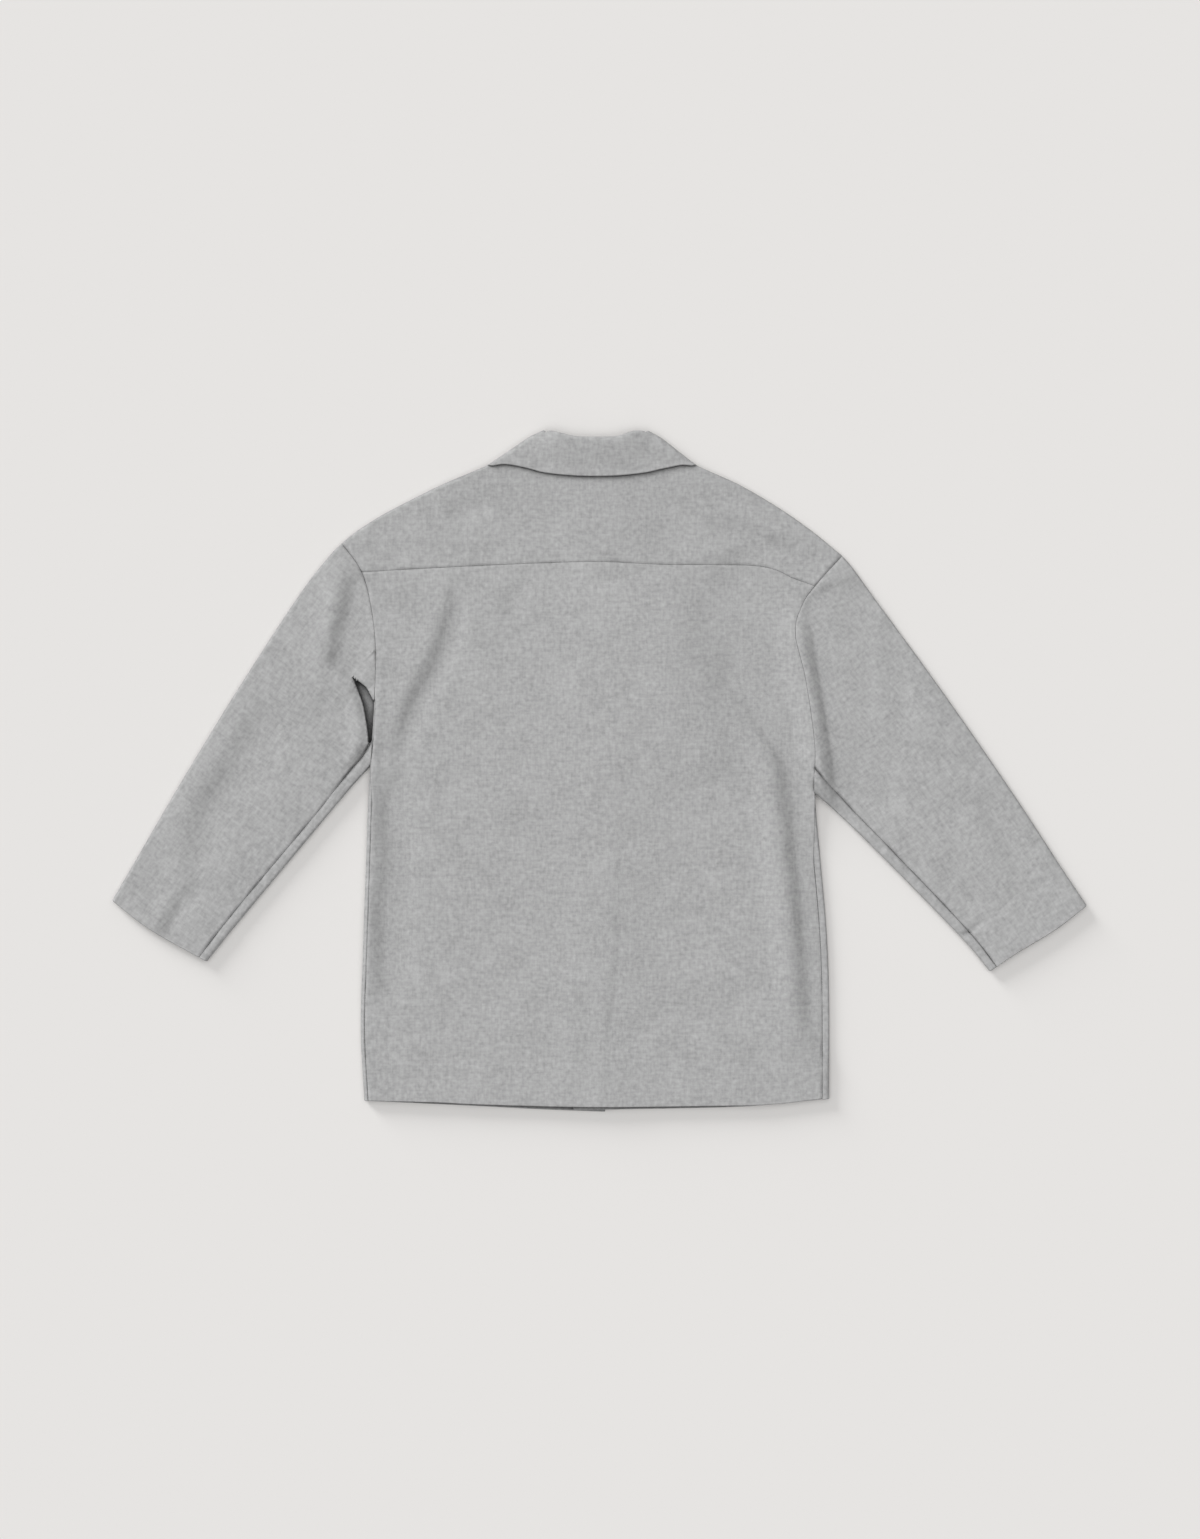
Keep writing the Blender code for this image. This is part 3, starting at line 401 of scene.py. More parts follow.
# Folds with one steep side, high on the left of the route. Columns as above
ROLLS = [
    ("body", 9, 1.8, [(-207, 8), (-191, 62), (-165, 113), (-152, 150), (-147, 198)]),
    ("body", 14, 3.4, [(-220, -236), (-218, -144), (-212, -92), (-215, -41), (-205, 12)]),
    ("body", 10, 0.7, [(-96, 154), (-82, 192)]),
    ("body", 48, 5.4, [(154, 0), (122, 105), (92, 212)]),
    ("body", 15, 5.0, [
        (211, -288), (205, -172), (200, -119), (192, -50), (185, 2), (166, 48), (144, 92),
    ]),
    ("body", 11, 1.6, [(112, 256), (160, 236), (206, 208)]),
    ("body", 12, 0.9, [(-160, 256), (-112, 276)]),
    ("body", 5, 0.3, [(5, -330), (5, -272), (13.5, -172), (17, -66)]),
    ("body", 9, 0.5, [(-22, -320), (-20, -250), (-24, -190)]),
    ("sleeve", 16, 3.6, [
        (-240, 88), (-252, 96), (-261, 112), (-258, 136), (-250, 168), (-240, 208),
    ]),
    ("sleeve", 18, 2.2, [(-417, -99), (-397, -39), (-370, 1), (-330, 81)]),
    ("sleeve", 8, 1.4, [(-440, -166), (-425, -139), (-410, -112), (-412, -88)]),
    ("sleeve", 25, 10.6, [
        (234, -60), (232, 6), (227, 41), (222, 71), (216, 106), (211, 131), (202, 158), (196, 176),
    ]),
    ("sleeve", 14, 2.2, [(284, 4), (290, 71), (280, 150)]),
    ("sleeve", 13, 1.6, [(422, -114), (400, -70), (376, -28)]),
]
COLLAR_FOOTPRINT = [FALL_EDGE[0], COLLAR_LOWEST, FALL_EDGE[-1], ROLL_EDGE[-1], ROLL_EDGE[0]]
LEFT_LEAF = [LEFT_LEAF_EDGE[0], LEFT_LEAF_ROLL[0], LEFT_LEAF_ROLL[-1], LEFT_LEAF_EDGE[-1]]
RIGHT_LEAF = [RIGHT_LEAF_EDGE[-1], RIGHT_LEAF_EDGE[0], RIGHT_LEAF_ROLL[0], RIGHT_LEAF_ROLL[-1]]
FOLDED_EDGES = [
    stretch(left_side, 0, reach_at_height(left_side, LEFT_UNDERARM_Y), EDGE_POINTS),
    stretch(right_side, 0, reach_at_height(right_side, RIGHT_UNDERARM_Y), EDGE_POINTS),
] + [
    smooth(table, EDGE_POINTS)
    for table in (
        LEFT_SHOULDER, RIGHT_SHOULDER, LEFT_SLEEVE_OUTER, RIGHT_SLEEVE_OUTER,
        LEFT_SLEEVE_INNER, RIGHT_SLEEVE_INNER,
    )
]
print(len(FOLDS), "folds,", len(CREASES), "creases,", len(ROLLS), "one-sided folds")

# %% [markdown]
# ## Seams as ditches
# A plain seam pulls both panels down to one line of thread. From a step away that is a thin
# dark ditch with soft shoulders, deeper in some places than in others, and small puckers
# stand beside it. The hems are turned up inside by 40 mm, and the edge of the turned cloth
# prints through as a faint step.

# %% Seam ditches and printed hems
SEAM_POINTS = 61
SEAM_HALF_WIDTH = 1.4
SEAM_LEVEL = 0.7
SEAM_SWAY = 0.3
# Two slow waves along a seam and one that breaks up its puckers, in turns of a pucker
SLOW_WAVE = 0.37
SLOWER_WAVE = 0.11
PUCKER_WAVE = 0.43
PUCKER_REACH = 12.0
PUCKER_HEIGHT = 0.18
PUCKER_SPACING = 17.0
HEM_DEPTH = 40.0
HEM_STEP = 0.35
HEM_STEP_WIDTH = 3.0
FOLD_POINTS = 25
SHORT_POINTS = 9
RIGHT_CUFF_PRINT = [(365, -162), (390, -146), (416, -124), (438, -115), (460, -96)]
left_armhole = stretch(
    left_side, reach_at_height(left_side, LEFT_UNDERARM_Y), lengths(left_side)[-1],
    SEAM_POINTS,
)
right_armhole = stretch(
    right_side, reach_at_height(right_side, RIGHT_UNDERARM_Y), lengths(right_side)[-1],
    SEAM_POINTS,
)
# Columns: route, depth of the ditch, share of it that fades by the route's end
SEAMS = [
    (yoke_seam, 0.9, 0.0),
    (left_armhole[::-1], 1.4, 0.5),
    (right_armhole[::-1], 1.3, 0.9),
    (stretch(left_seam, 0, reach_at_height(left_seam, -30), SEAM_POINTS), 1.0, 0.4),
    (stretch(right_seam, 0, reach_at_height(right_seam, -80), SEAM_POINTS), 1.0, 0.7),
    (left_underarm, 1.3, 0.0),
    (right_underarm, 1.3, 0.0),
    (stretch(left_underarm, 0, 62, EDGE_POINTS), 2.6, 1.0),
    (stretch(right_underarm, 0, 48, EDGE_POINTS), 1.6, 1.0),
    (smooth([(196, 155), (203, 149), (209, 140)], FOLD_POINTS), 1.2, 1.0),
    (smooth(RIGHT_CUFF_PRINT, EDGE_POINTS), 0.7, 0.4),
    (smooth([(360, -163.5), (370.5, -161)], SHORT_POINTS), 1.6, 0.0),
]
HEM_ROUTES = [smooth(BACK_HEM, SEAM_POINTS)]
HEM_ROUTES += [smooth(cuff, EDGE_POINTS) for cuff in (LEFT_CUFF, RIGHT_CUFF)]
print(len(SEAMS), "seams and prints,", len(HEM_ROUTES), "turned hems")


# %% Heights beside seams and hems
# Columns: wave length, direction in degrees, height, phase
SWELLS = [(61, 24, 0.10, 0.3), (47, 103, 0.10, 1.9), (83, 71, 0.12, 4.0), (37, 151, 0.06, 2.7)]
SWELL_BEND = 0.8


def seam_height(points):
    """Change of height beside the seams: the ditch and its puckers."""
    change = np.zeros(len(points))
    for route, depth, fades in SEAMS:
        gap, share, _ = to_route(points, route)
        turns = 2 * math.pi * share * lengths(route)[-1] / PUCKER_SPACING
        sway = SEAM_SWAY * np.sin(turns * SLOW_WAVE + depth) * np.sin(turns * SLOWER_WAVE)
        uneven = (SEAM_LEVEL + sway) * (1 - fades * share)
        change -= depth * uneven * np.exp(-((gap / SEAM_HALF_WIDTH) ** 2))
        ripple = np.sin(turns) * np.sin(turns * PUCKER_WAVE + 1)
        change += PUCKER_HEIGHT * ripple * np.exp(-gap / PUCKER_REACH)
    return change


def hem_height(points):
    """Lift of the cloth over the hem turned up inside it."""
    lift = np.zeros(len(points))
    for route in HEM_ROUTES:
        gap = to_route(points, route)[0]
        lift = np.maximum(lift, HEM_STEP * ease((HEM_DEPTH - gap) / HEM_STEP_WIDTH + 0.5))
    return lift


def unevenness(points):
    """Slow swells that no two places share, from a few crossing waves."""
    total = np.zeros(len(points))
    for size, direction, height, phase in SWELLS:
        angle = math.radians(direction)
        place = points @ np.array([math.cos(angle), math.sin(angle)])
        aside = points @ np.array([-math.sin(angle), math.cos(angle)])
        bend = SWELL_BEND * np.sin(aside / size)
        total += height * np.sin(2 * math.pi * place / size + phase + bend)
    return total


print("swells of up to", sum(row[2] for row in SWELLS), "mm")

# %% [markdown]
# ## The two skins
# `upper_skin` adds all of this up for the side that faces the camera. `lower_skin` is the side
# that lies on the table: flat where it rests, lifted over the collar's leaves and the buttons,
# with a few shallow creases that stand off the table.

# %% Soft folds
FOLD_TAPER = 4
# Columns: half width, height, route of x, y
UNDER_CREASES = [
    (14, 0.9, [(-190, 150), (-168, 60), (-180, -40)]),
    (10, 0.7, [(-120, 60), (-112, -60), (-130, -170)]),
    (12, 0.8, [(150, 140), (168, 30), (158, -80)]),
    (9, 0.6, [(100, -40), (112, -140), (104, -230)]),
    (8, 0.5, [(-205, -120), (-196, -220)]),
    (11, 0.8, [(-290, 120), (-330, 30), (-372, -40)]),
    (8, 0.6, [(-352, -20), (-392, -84)]),
    (11, 0.8, [(270, 130), (300, 50), (318, -20)]),
    (8, 0.6, [(352, -30), (392, -90)]),
]


def bumps(points, rows):
    """Sum of soft troughs and ridges. Columns: half width, height, route."""
    total = np.zeros(len(points))
    for half_width, height, route in rows:
        gap, share, _ = to_route(points, smooth(route, FOLD_POINTS))
        total += height * (1 - (2 * share - 1) ** FOLD_TAPER) * np.exp(-((gap / half_width) ** 2))
    return total


def rolls(points, rows):
    """Sum of one-sided folds, high on the left of each route and low on its right."""
    total = np.zeros(len(points))
    for half_width, height, route in rows:
        gap, share, side = to_route(points, smooth(route, FOLD_POINTS))
        offset = side * gap / half_width
        total += height * (1 - (2 * share - 1) ** FOLD_TAPER) * offset * np.exp(0.5 - offset**2 / 2)
    return total


# %% Upper skin
def beside_buttons(points):
    """1 along the row of buttons, easing to 0 beyond its ends."""
    last_y = BUTTON_FIRST_Y - BUTTON_PITCH * (BUTTON_COUNT - 1)
    middle_y = (BUTTON_FIRST_Y + last_y) / 2
    half_row = (BUTTON_FIRST_Y - last_y) / 2 + BUTTON_RADIUS
    return ease(1 - (np.abs(points[:, 1] - middle_y) - half_row) / RIDGE_END_SLOPE)


def upper_skin(points, piece):
    """Height of the upper side of the body or of a sleeve."""
    edge_gap = np.min([to_route(points, edge)[0] for edge in FOLDED_EDGES], axis=0)
    height = EDGE_HEIGHT + PUFF * (1 - np.exp(-np.maximum(edge_gap - FOLD_RADIUS, 0) / PUFF_REACH))
    if piece == "body":
        lap = np.exp(-((points[:, 0] / LAP_HUMP_REACH) ** 2))
        full = np.where(points[:, 1] > 0, 1.0, beside_buttons(points))
        height += LAP_HUMP * lap * (1 + full) / 2
    height += bumps(points, [row[1:] for row in FOLDS if row[0] == piece])
    near_neck = ease(1 - (outside(points, COLLAR_FOOTPRINT) - NECK_MARGIN) / NECK_REACH)
    height += near_neck * (NECK_HEIGHT - height)
    fine = bumps(points, [row[1:] for row in CREASES if row[0] == piece])
    fine += rolls(points, [row[1:] for row in ROLLS if row[0] == piece])
    fine += unevenness(points) + hem_height(points)
    height += fine * (1 - near_neck)
    if piece == "body":
        height -= FALL_DIP * np.exp(-((to_route(points, fall_edge)[0] / FALL_DIP_REACH) ** 2))
    height = LEAST_SOFTNESS * np.logaddexp(height / LEAST_SOFTNESS, LEAST_HEIGHT / LEAST_SOFTNESS)
    return height + seam_height(points)


probe = np.array([(0.0, 0.0), (-150.0, 0.0), (-350.0, 20.0)])
print("upper side at three places:", np.round(upper_skin(probe, "body"), 1), "mm")


# %% Lower skin
def leaf_lift(points, *leaves):
    """Lift of the lower side over the collar's leaves."""
    gap = np.min([outside(points, leaf) for leaf in leaves], axis=0)
    return LEAF_RISE * ease(1 - (gap - NECK_MARGIN) / LEAF_REACH)


def lower_skin(points):
    """Height of the side that lies on the table."""
    beside = ease(1 - (np.abs(points[:, 0] - BUTTON_X) - RIDGE_HALF_WIDTH) / RIDGE_SLOPE)
    ridge = RIDGE_RISE * beside * beside_buttons(points)
    lifted = np.maximum(leaf_lift(points, LEFT_LEAF, RIGHT_LEAF), ridge)
    return lifted + bumps(points, UNDER_CREASES)


def lapped_skin(points):
    """Height of the under front: over the outer front, then down beside its edge."""
    edge_x = np.interp(points[:, 1], left_front_edge[:, 1], left_front_edge[:, 0])
    lap = ease(1 - (points[:, 0] - edge_x - 2 * CLOTH) / LAP_SLOPE)
    flat = leaf_lift(points, RIGHT_LEAF) + bumps(points, UNDER_CREASES)
    return flat + lap * (lower_skin(points) + CLOTH + LAYER_GAP - flat)


print("under front at the same places:", np.round(lapped_skin(probe), 1), "mm")

# %% [markdown]
# ## A wall of cloth
# Cloth has two sides and an edge. Solidify could thicken a sheet, but at a turned edge it
# crosses itself, so each panel is made as two grids of points, outer and inner, and a rim that
# joins them. The rim has one more line of points pushed out a little, and with smooth shading
# that reads as a rounded, felted edge.

# %% Spacing and sections
MITRE_LIMIT = 0.6
NEAR_STEPS = [0.0, 0.5, 1.0, 1.6, 2.4, 3.5, 5.0]
FOLD_BLEND = 8.0


def spaced(length, count):
    """Distances from 0 to length, close together at both ends."""
    near = np.array(NEAR_STEPS)
    middle = np.linspace(near[-1], length - near[-1], count)[1:-1]
    return np.concatenate([near, middle, length - near[::-1]])


def spaced_after(start, length, count):
    """Distances after start up to length, close together at the far end."""
    near = np.array(NEAR_STEPS)
    return np.concatenate([np.linspace(start, length - near[-1], count)[1:-1], length - near[::-1]])


def plan_points(paths, rows):
    """Points at distances along paths, with one row of distances for each path."""
    return np.vstack([along(path, row) for path, row in zip(paths, rows)])


def eased_to(heights, target, end, gaps):
    """Heights brought to a target at one end, less and less with the gap from it."""
    return heights + (target - heights[end]) * np.exp(-gaps / FOLD_BLEND)


def inner_side(section):
    """A section moved in by the cloth's thickness. Its points run anticlockwise."""
    steps = np.diff(section, axis=0)
    steps /= np.linalg.norm(steps, axis=1)[:, None]
    before = np.vstack([steps[:1], steps])
    after = np.vstack([steps, steps[-1:]])
    mean = before + after
    mean /= np.linalg.norm(mean, axis=1)[:, None]
    reach = CLOTH / np.maximum(np.einsum("pd,pd->p", mean, after), MITRE_LIMIT)
    return section + reach[:, None] * np.column_stack([-mean[:, 1], mean[:, 0]])


def half_round(centre_x, low, high, start_angle, steps):
    """Half a circle between two heights, without its ends."""
    radius = (high - low) / 2
    angles = np.radians(start_angle + np.linspace(0, 180, steps + 1)[1:-1])
    return np.column_stack([
        centre_x + radius * np.cos(angles),
        low + radius + radius * np.sin(angles),
    ])


def placed(path, section):
    """A flat section stood on a path: its first column is a distance along the path."""
    return np.column_stack([along(path, section[:, 0]), section[:, 1]])


print("steps beside an edge:", NEAR_STEPS, "mm")

# %% Closed wall
RIM_ROUND = 0.55
SHORTEST = 1e-9


def add_object(name, data):
    """A new object in the scene."""
    made = bpy.data.objects.new(name, data)
    bpy.context.scene.collection.objects.link(made)
    return made


def cloth_wall(name, outer, inner, kept=None):
    """A closed wall between two grids of points, where kept marks the faces that are cloth."""
    outer, inner = np.array(outer), np.array(inner)
    rows, columns = outer.shape[:2]
    if kept is None:
        kept = np.ones((rows - 1, columns - 1), bool)
    index = np.arange(rows * columns).reshape(rows, columns)
    ring = [index[:-1, :-1], index[:-1, 1:], index[1:, 1:], index[1:, :-1]]
    quads = np.stack(ring, axis=-1)[kept]
    edges = np.concatenate([quads[:, [k, (k + 1) % 4]] for k in range(4)])
    owners = np.tile(np.arange(len(quads)), 4)
    _, first, uses = np.unique(
        np.sort(edges, axis=1), axis=0, return_index=True, return_counts=True,
    )
    border = first[uses == 1]
    rim = edges[border]
    outer = outer.reshape(-1, 3)
    inner = inner.reshape(-1, 3)
    run = outer[rim[:, 1]] - outer[rim[:, 0]]
    run /= np.maximum(np.linalg.norm(run, axis=1), SHORTEST)[:, None]
    away = outer[rim].mean(axis=1) - outer[quads[owners[border]]].mean(axis=1)
    away -= run * np.einsum("pd,pd->p", run, away)[:, None]
    outward = np.zeros_like(outer)
    for end in range(2):
        np.add.at(outward, rim[:, end], away)
    outward /= np.maximum(np.linalg.norm(outward, axis=1), SHORTEST)[:, None]
    middle = (outer + inner) / 2 + outward * RIM_ROUND * CLOTH / 2
    total = len(outer)
    a, b = rim.T
    faces = np.concatenate([
        quads,
        quads[:, ::-1] + total,
        np.stack([b, a, a + 2 * total, b + 2 * total], axis=1),
        np.stack([b + 2 * total, a + 2 * total, a + total, b + total], axis=1),
    ])
    used, faces = np.unique(faces, return_inverse=True)
    points = np.concatenate([outer, inner, middle])[used] * MM
    mesh = bpy.data.meshes.new(name)
    mesh.from_pydata(points.tolist(), [], faces.reshape(-1, 4).tolist())
    shape = bmesh.new()
    shape.from_mesh(mesh)
    bmesh.ops.recalc_face_normals(shape, faces=shape.faces[:])
    shape.to_mesh(mesh)
    shape.free()
    mesh.shade_smooth()
    print(name, len(mesh.polygons), "quads")
    return add_object(name, mesh)


# %% [markdown]
# ## Back panel
# The lower back is one flat panel between the side seams, the hem and the yoke seam. A flat
# plane could be cut to that outline, but a grid whose rows run from hem to yoke and whose
# columns run from seam to seam has its edges on the seams, and its quads follow the cloth.
# Below the right underarm the edge is rounded; above it the edge runs flush into the sleeve.

# %% Back panel
BACK_ROWS = 175
BACK_COLUMNS = 150
SIDE_POINTS = 321
EDGE_FADE = 25.0


def panel_rows(patch, count):
    """Plan lines across a patch, close together at its bottom and top."""
    height = lengths(patch[2])[-1]
    return [patch_row(patch, share) for share in spaced(height, count) / height]


def make_back():
    sides = []
    for seam, corner in ((left_seam, yoke_seam[0]), (right_seam, yoke_seam[-1])):
        sides.append(stretch(seam, 0, reach_at_height(seam, corner[1] - SEAM_GAP / 2), SIDE_POINTS))
    hem = smooth([sides[0][0]] + BACK_HEM[1:-1] + [sides[1][0]])
    top = yoke_seam - left_of(yoke_seam) * SEAM_GAP / 2
    top = np.vstack([sides[0][-1:], top[1:-1], sides[1][-1:]])
    plan = []
    for path in panel_rows((hem, top, sides[0], sides[1]), BACK_ROWS):
        plan.append(along(path, spaced(lengths(path)[-1], BACK_COLUMNS)))
    plan = np.array(plan)
    flat = plan.reshape(-1, 2)
    height = upper_skin(flat, "body")
    edge_gap = np.min([to_route(flat, edge)[0] for edge in FOLDED_EDGES[:2]], axis=0)
    radius = height / 2
    joined = (flat[:, 0] > 0) * ease((flat[:, 1] - RIGHT_NOTCH_Y) / EDGE_FADE + 1)
    short = np.clip(radius - edge_gap, 0, radius) * (1 - joined)
    height -= radius - np.sqrt(radius**2 - short**2)
    height = height.reshape(plan.shape[:2])
    outer, inner = [], []
    for path, row in zip(plan, height):
        section = np.column_stack([lengths(path), row])[::-1]
        outer.append(placed(path, section))
        inner.append(placed(path, inner_side(section)))
    return cloth_wall("back_panel_cloth", outer, inner)


back_cloth = make_back()

# %% [markdown]
# ## Sleeves
# A sleeve is a flattened tube. Its section starts at the underarm seam on the upper side, runs
# out to the outer fold, back along the table, round the inner fold and up to the seam again.
# A cylinder could be pressed flat, but its rings would not keep to the cuff and the armhole.
# At the left underarm the cloth gapes: grid points near the gap's edge are moved onto it, and
# the faces within it are left out, which is neater than a boolean cut.

# %% Sizes of the sleeve grids
SLEEVE_ROWS = 122
SLEEVE_NEAR_ROWS = 26
SLEEVE_NEAR_REACH = 30.0
SLEEVE_TOP_COLUMNS = 36
SLEEVE_NEAR_COLUMNS = 78
SLEEVE_NEAR_SHARE = 0.5
ARMHOLE_BLEND = 12.0
SLEEVE_UNDER_COLUMNS = 40
STRIP_COLUMNS = 5
FOLD_STEPS = 8
print("sleeve grids have about", SLEEVE_ROWS + SLEEVE_NEAR_ROWS, "rows")

# %% Gap at the left underarm
# Corners of the gap beside the body at the left underarm, then of the same beyond the body's edge
ARMPIT_GAP = [
    (-231, 27), (-231.5, 36), (-233.5, 51), (-236.5, 67), (-241.5, 80), (-248, 95.5),
    (-240, 90), (-232.5, 84), (-225.5, 71),
]
ARMPIT_BEYOND = [(-215, 72), (-215, 27)]
SNAP_REACH = 1.0


def inside(points, corners):
    """Which points lie in a polygon."""
    corners = np.array(corners, float)
    crossings = np.zeros(len(points), int)
    for a, b in zip(corners, np.roll(corners, -1, axis=0)):
        spans = (a[1] > points[:, 1]) != (b[1] > points[:, 1])
        rise = b[1] - a[1] if b[1] != a[1] else 1.0
        x = a[0] + (points[:, 1] - a[1]) * (b[0] - a[0]) / rise
        crossings += spans & (points[:, 0] < x)
    return crossings % 2 == 1


def cut_gap(outer, inner, columns, edge, beyond):
    """Move grid points near a gap's edge onto it, and mark the faces that stay."""
    route = at(np.array(edge, float), np.linspace(0, 1, CURVE_POINTS))
    flat = outer[:, :columns, :2].reshape(-1, 2)
    distance = np.linalg.norm(flat[:, None] - route[None], axis=2)
    near = distance.min(axis=1) < SNAP_REACH
    moves = np.where(near[:, None], route[distance.argmin(axis=1)] - flat, 0)
    moves = moves.reshape(outer.shape[0], columns, 2)
    outer[:, :columns, :2] += moves
    inner[:, :columns, :2] += moves
    centres = (outer[:-1, :-1] + outer[1:, :-1] + outer[1:, 1:] + outer[:-1, 1:]) / 4
    kept = ~inside(centres[..., :2].reshape(-1, 2), edge + beyond).reshape(centres.shape[:2])
    kept[:, columns:] = True
    return kept


# %% Sleeves
def make_sleeve(name, patch, insets, gap=None):
    height = lengths(patch[2])[-1]
    near = np.linspace(NEAR_STEPS[-1], SLEEVE_NEAR_REACH, SLEEVE_NEAR_ROWS)[1:]
    far = spaced_after(SLEEVE_NEAR_REACH, height, SLEEVE_ROWS)
    levels = np.concatenate([NEAR_STEPS, near, far]) / height
    paths = [patch_row(patch, level) for level in levels]
    widths = np.array([lengths(path)[-1] for path in paths])
    seams = widths - np.interp(levels, *np.array(insets).T)
    folds = plan_points(paths, [(FOLD_RADIUS, width - FOLD_RADIUS) for width in widths])
    fold_heights = upper_skin(folds, "sleeve").reshape(-1, 2)
    upper, lower, strip = [], [], []
    for width, seam, (edge_high, fold_high) in zip(widths, seams, fold_heights):
        top_width = seam - SEAM_GAP / 2 - edge_high / 2
        near = np.linspace(NEAR_STEPS[-1], top_width * SLEEVE_NEAR_SHARE, SLEEVE_NEAR_COLUMNS)[1:]
        far = spaced_after(near[-1], top_width, SLEEVE_TOP_COLUMNS)
        upper.append(seam - SEAM_GAP / 2 - np.concatenate([NEAR_STEPS, near, far]))
        lower.append(np.linspace(edge_high / 2, width - fold_high / 2, SLEEVE_UNDER_COLUMNS))
        strip.append(np.linspace(width - fold_high / 2, seam + SEAM_GAP / 2, STRIP_COLUMNS))
    tops = [plan_points(paths, rows) for rows in (upper, strip)]
    upper_z = upper_skin(tops[0], "sleeve").reshape(len(levels), -1)
    strip_z = upper_skin(tops[1], "sleeve").reshape(len(levels), -1)
    beside_armhole = np.exp(-levels * height / ARMHOLE_BLEND)[:, None]
    for top, top_z in zip(tops, (upper_z, strip_z)):
        top_z += (upper_skin(top[:top_z.shape[1]], "body") - top_z[0]) * beside_armhole
    lower_z = bumps(plan_points(paths, lower), UNDER_CREASES).reshape(len(levels), -1)
    outer, inner = [], []
    for row, path in enumerate(paths):
        edge_high, fold_high = fold_heights[row]
        upper_z[row] = eased_to(upper_z[row], edge_high, -1, upper[row] - edge_high / 2)
        strip_z[row] = eased_to(strip_z[row], fold_high, 0, strip[row][0] - strip[row])
        section = np.vstack([
            np.column_stack([upper[row], upper_z[row]]),
            half_round(edge_high / 2, lower_z[row, 0], edge_high, 90, FOLD_STEPS),
            np.column_stack([lower[row], lower_z[row]]),
            half_round(widths[row] - fold_high / 2, lower_z[row, -1], fold_high, -90, FOLD_STEPS),
            np.column_stack([strip[row], strip_z[row]]),
        ])
        outer.append(placed(path, section))
        inner.append(placed(path, inner_side(section)))
    outer, inner = np.array(outer), np.array(inner)
    kept = cut_gap(outer, inner, len(upper[0]), *gap) if gap else None
    return cloth_wall(name, outer, inner, kept)


left_sleeve_cloth = make_sleeve(
    "sleeve_left_cloth", left_patch, LEFT_UNDERARM_INSET, (ARMPIT_GAP, ARMPIT_BEYOND),
)
right_sleeve_cloth = make_sleeve("sleeve_right_cloth", right_patch, RIGHT_UNDERARM_INSET)

# %% [markdown]
# ## Yoke
# The yoke is folded over the shoulders: a narrow strip of it lies underneath, where it meets
# the fronts. Each column runs from that strip, round the shoulder's edge, to the yoke seam.
# Beside the armhole the columns follow its curve, and further in they straighten. Two panels
# could be joined at the shoulder, but one grid has no join there, like the cut cloth.

# %% Plan of the yoke
YOKE_TURN = 25.0
NECK_LEAN = 9.0
NECK_LEAN_POWER = 4
ARMHOLE_SHARE = 0.25
SHOULDER_COLUMNS = 60
NECK_COLUMNS = 48
YOKE_TOP_COLUMNS = 34
YOKE_TURN_COLUMNS = 9


def across_collar(roll, edge, share):
    """Plan line of the collar from its roll to its edge, at a share of their lengths."""
    return np.vstack([at(roll, [share]), at(edge, [share])])


def collar_column(share):
    """The same at the back of the neck."""
    return across_collar(roll_edge, fall_edge, share)


def side_fold(lower, upper, outward):
    """Unit run of a collar's side fold line and its outward direction."""
    run = np.array(upper, float) - np.array(lower, float)
    run /= np.linalg.norm(run)
    return run, outward * np.array([-run[1], run[0]])


def yoke_shoulder(shoulder, side, inward, lower, upper):
    """Plan lines of one shoulder: its edge, the seam on the underside, and the armhole."""
    fold_run, fold_away = side_fold(lower, upper, -inward)
    radius = NECK_AXIS_HEIGHT - LEAF_RISE - SEAM_GAP
    neck = np.array(upper) - fold_run * (STAND_DEPTH + SEAM_GAP) + fold_away * radius
    run = smooth(shoulder[:-1] + [tuple(np.array(lower) + fold_away * radius), tuple(neck)])
    shares = np.linspace(0, 1, len(run))[:, None]
    lean = np.gradient(run, axis=0)
    lean /= np.linalg.norm(lean, axis=1)[:, None]
    under = run + left_of(run) * inward * YOKE_TURN - lean * NECK_LEAN * shares**NECK_LEAN_POWER
    armhole = side + inward * left_of(side) * SEAM_GAP / 2
    armhole = stretch(armhole, lengths(armhole)[-1], 0)
    start = along(armhole, [YOKE_TURN])[0]
    under += (start - under[0]) * (1 - ease(shares / ARMHOLE_SHARE))
    return run, under, armhole


left_yoke = yoke_shoulder(LEFT_SHOULDER, left_side, -1, FALL_EDGE[0], ROLL_EDGE[0])
right_yoke = yoke_shoulder(RIGHT_SHOULDER, right_side, 1, FALL_EDGE[-1], ROLL_EDGE[-1])


print("left shoulder", round(lengths(left_yoke[0])[-1]), "mm")


# %% Yoke
def bowed(line, curve, amount):
    """A straight line that takes on part of a curve's bow."""
    shares = np.linspace(0, 1, CURVE_POINTS)
    chord = at(curve[[0, -1]], shares)
    return at(line, shares) + (at(curve, shares) - chord) * amount


def yoke_paths(place, seam_point, yoke):
    """Plan paths of one shoulder column, over the top and underneath, from the shoulder's edge."""
    run, under, armhole = yoke
    edge_point = at(run, [place])
    bow = float(1 - ease(place / ARMHOLE_SHARE))
    corner = yoke_seam[-1 if seam_point[0] > 0 else 0]
    seam_reach = np.interp(-corner[1], -armhole[:, 1], lengths(armhole))
    top_path = bowed(np.vstack([edge_point, seam_point]), stretch(armhole, 0, seam_reach), bow)
    under_line = np.vstack([edge_point, at(under, [place])])
    under_path = bowed(under_line, stretch(armhole, 0, YOKE_TURN), bow)
    return top_path, under_path


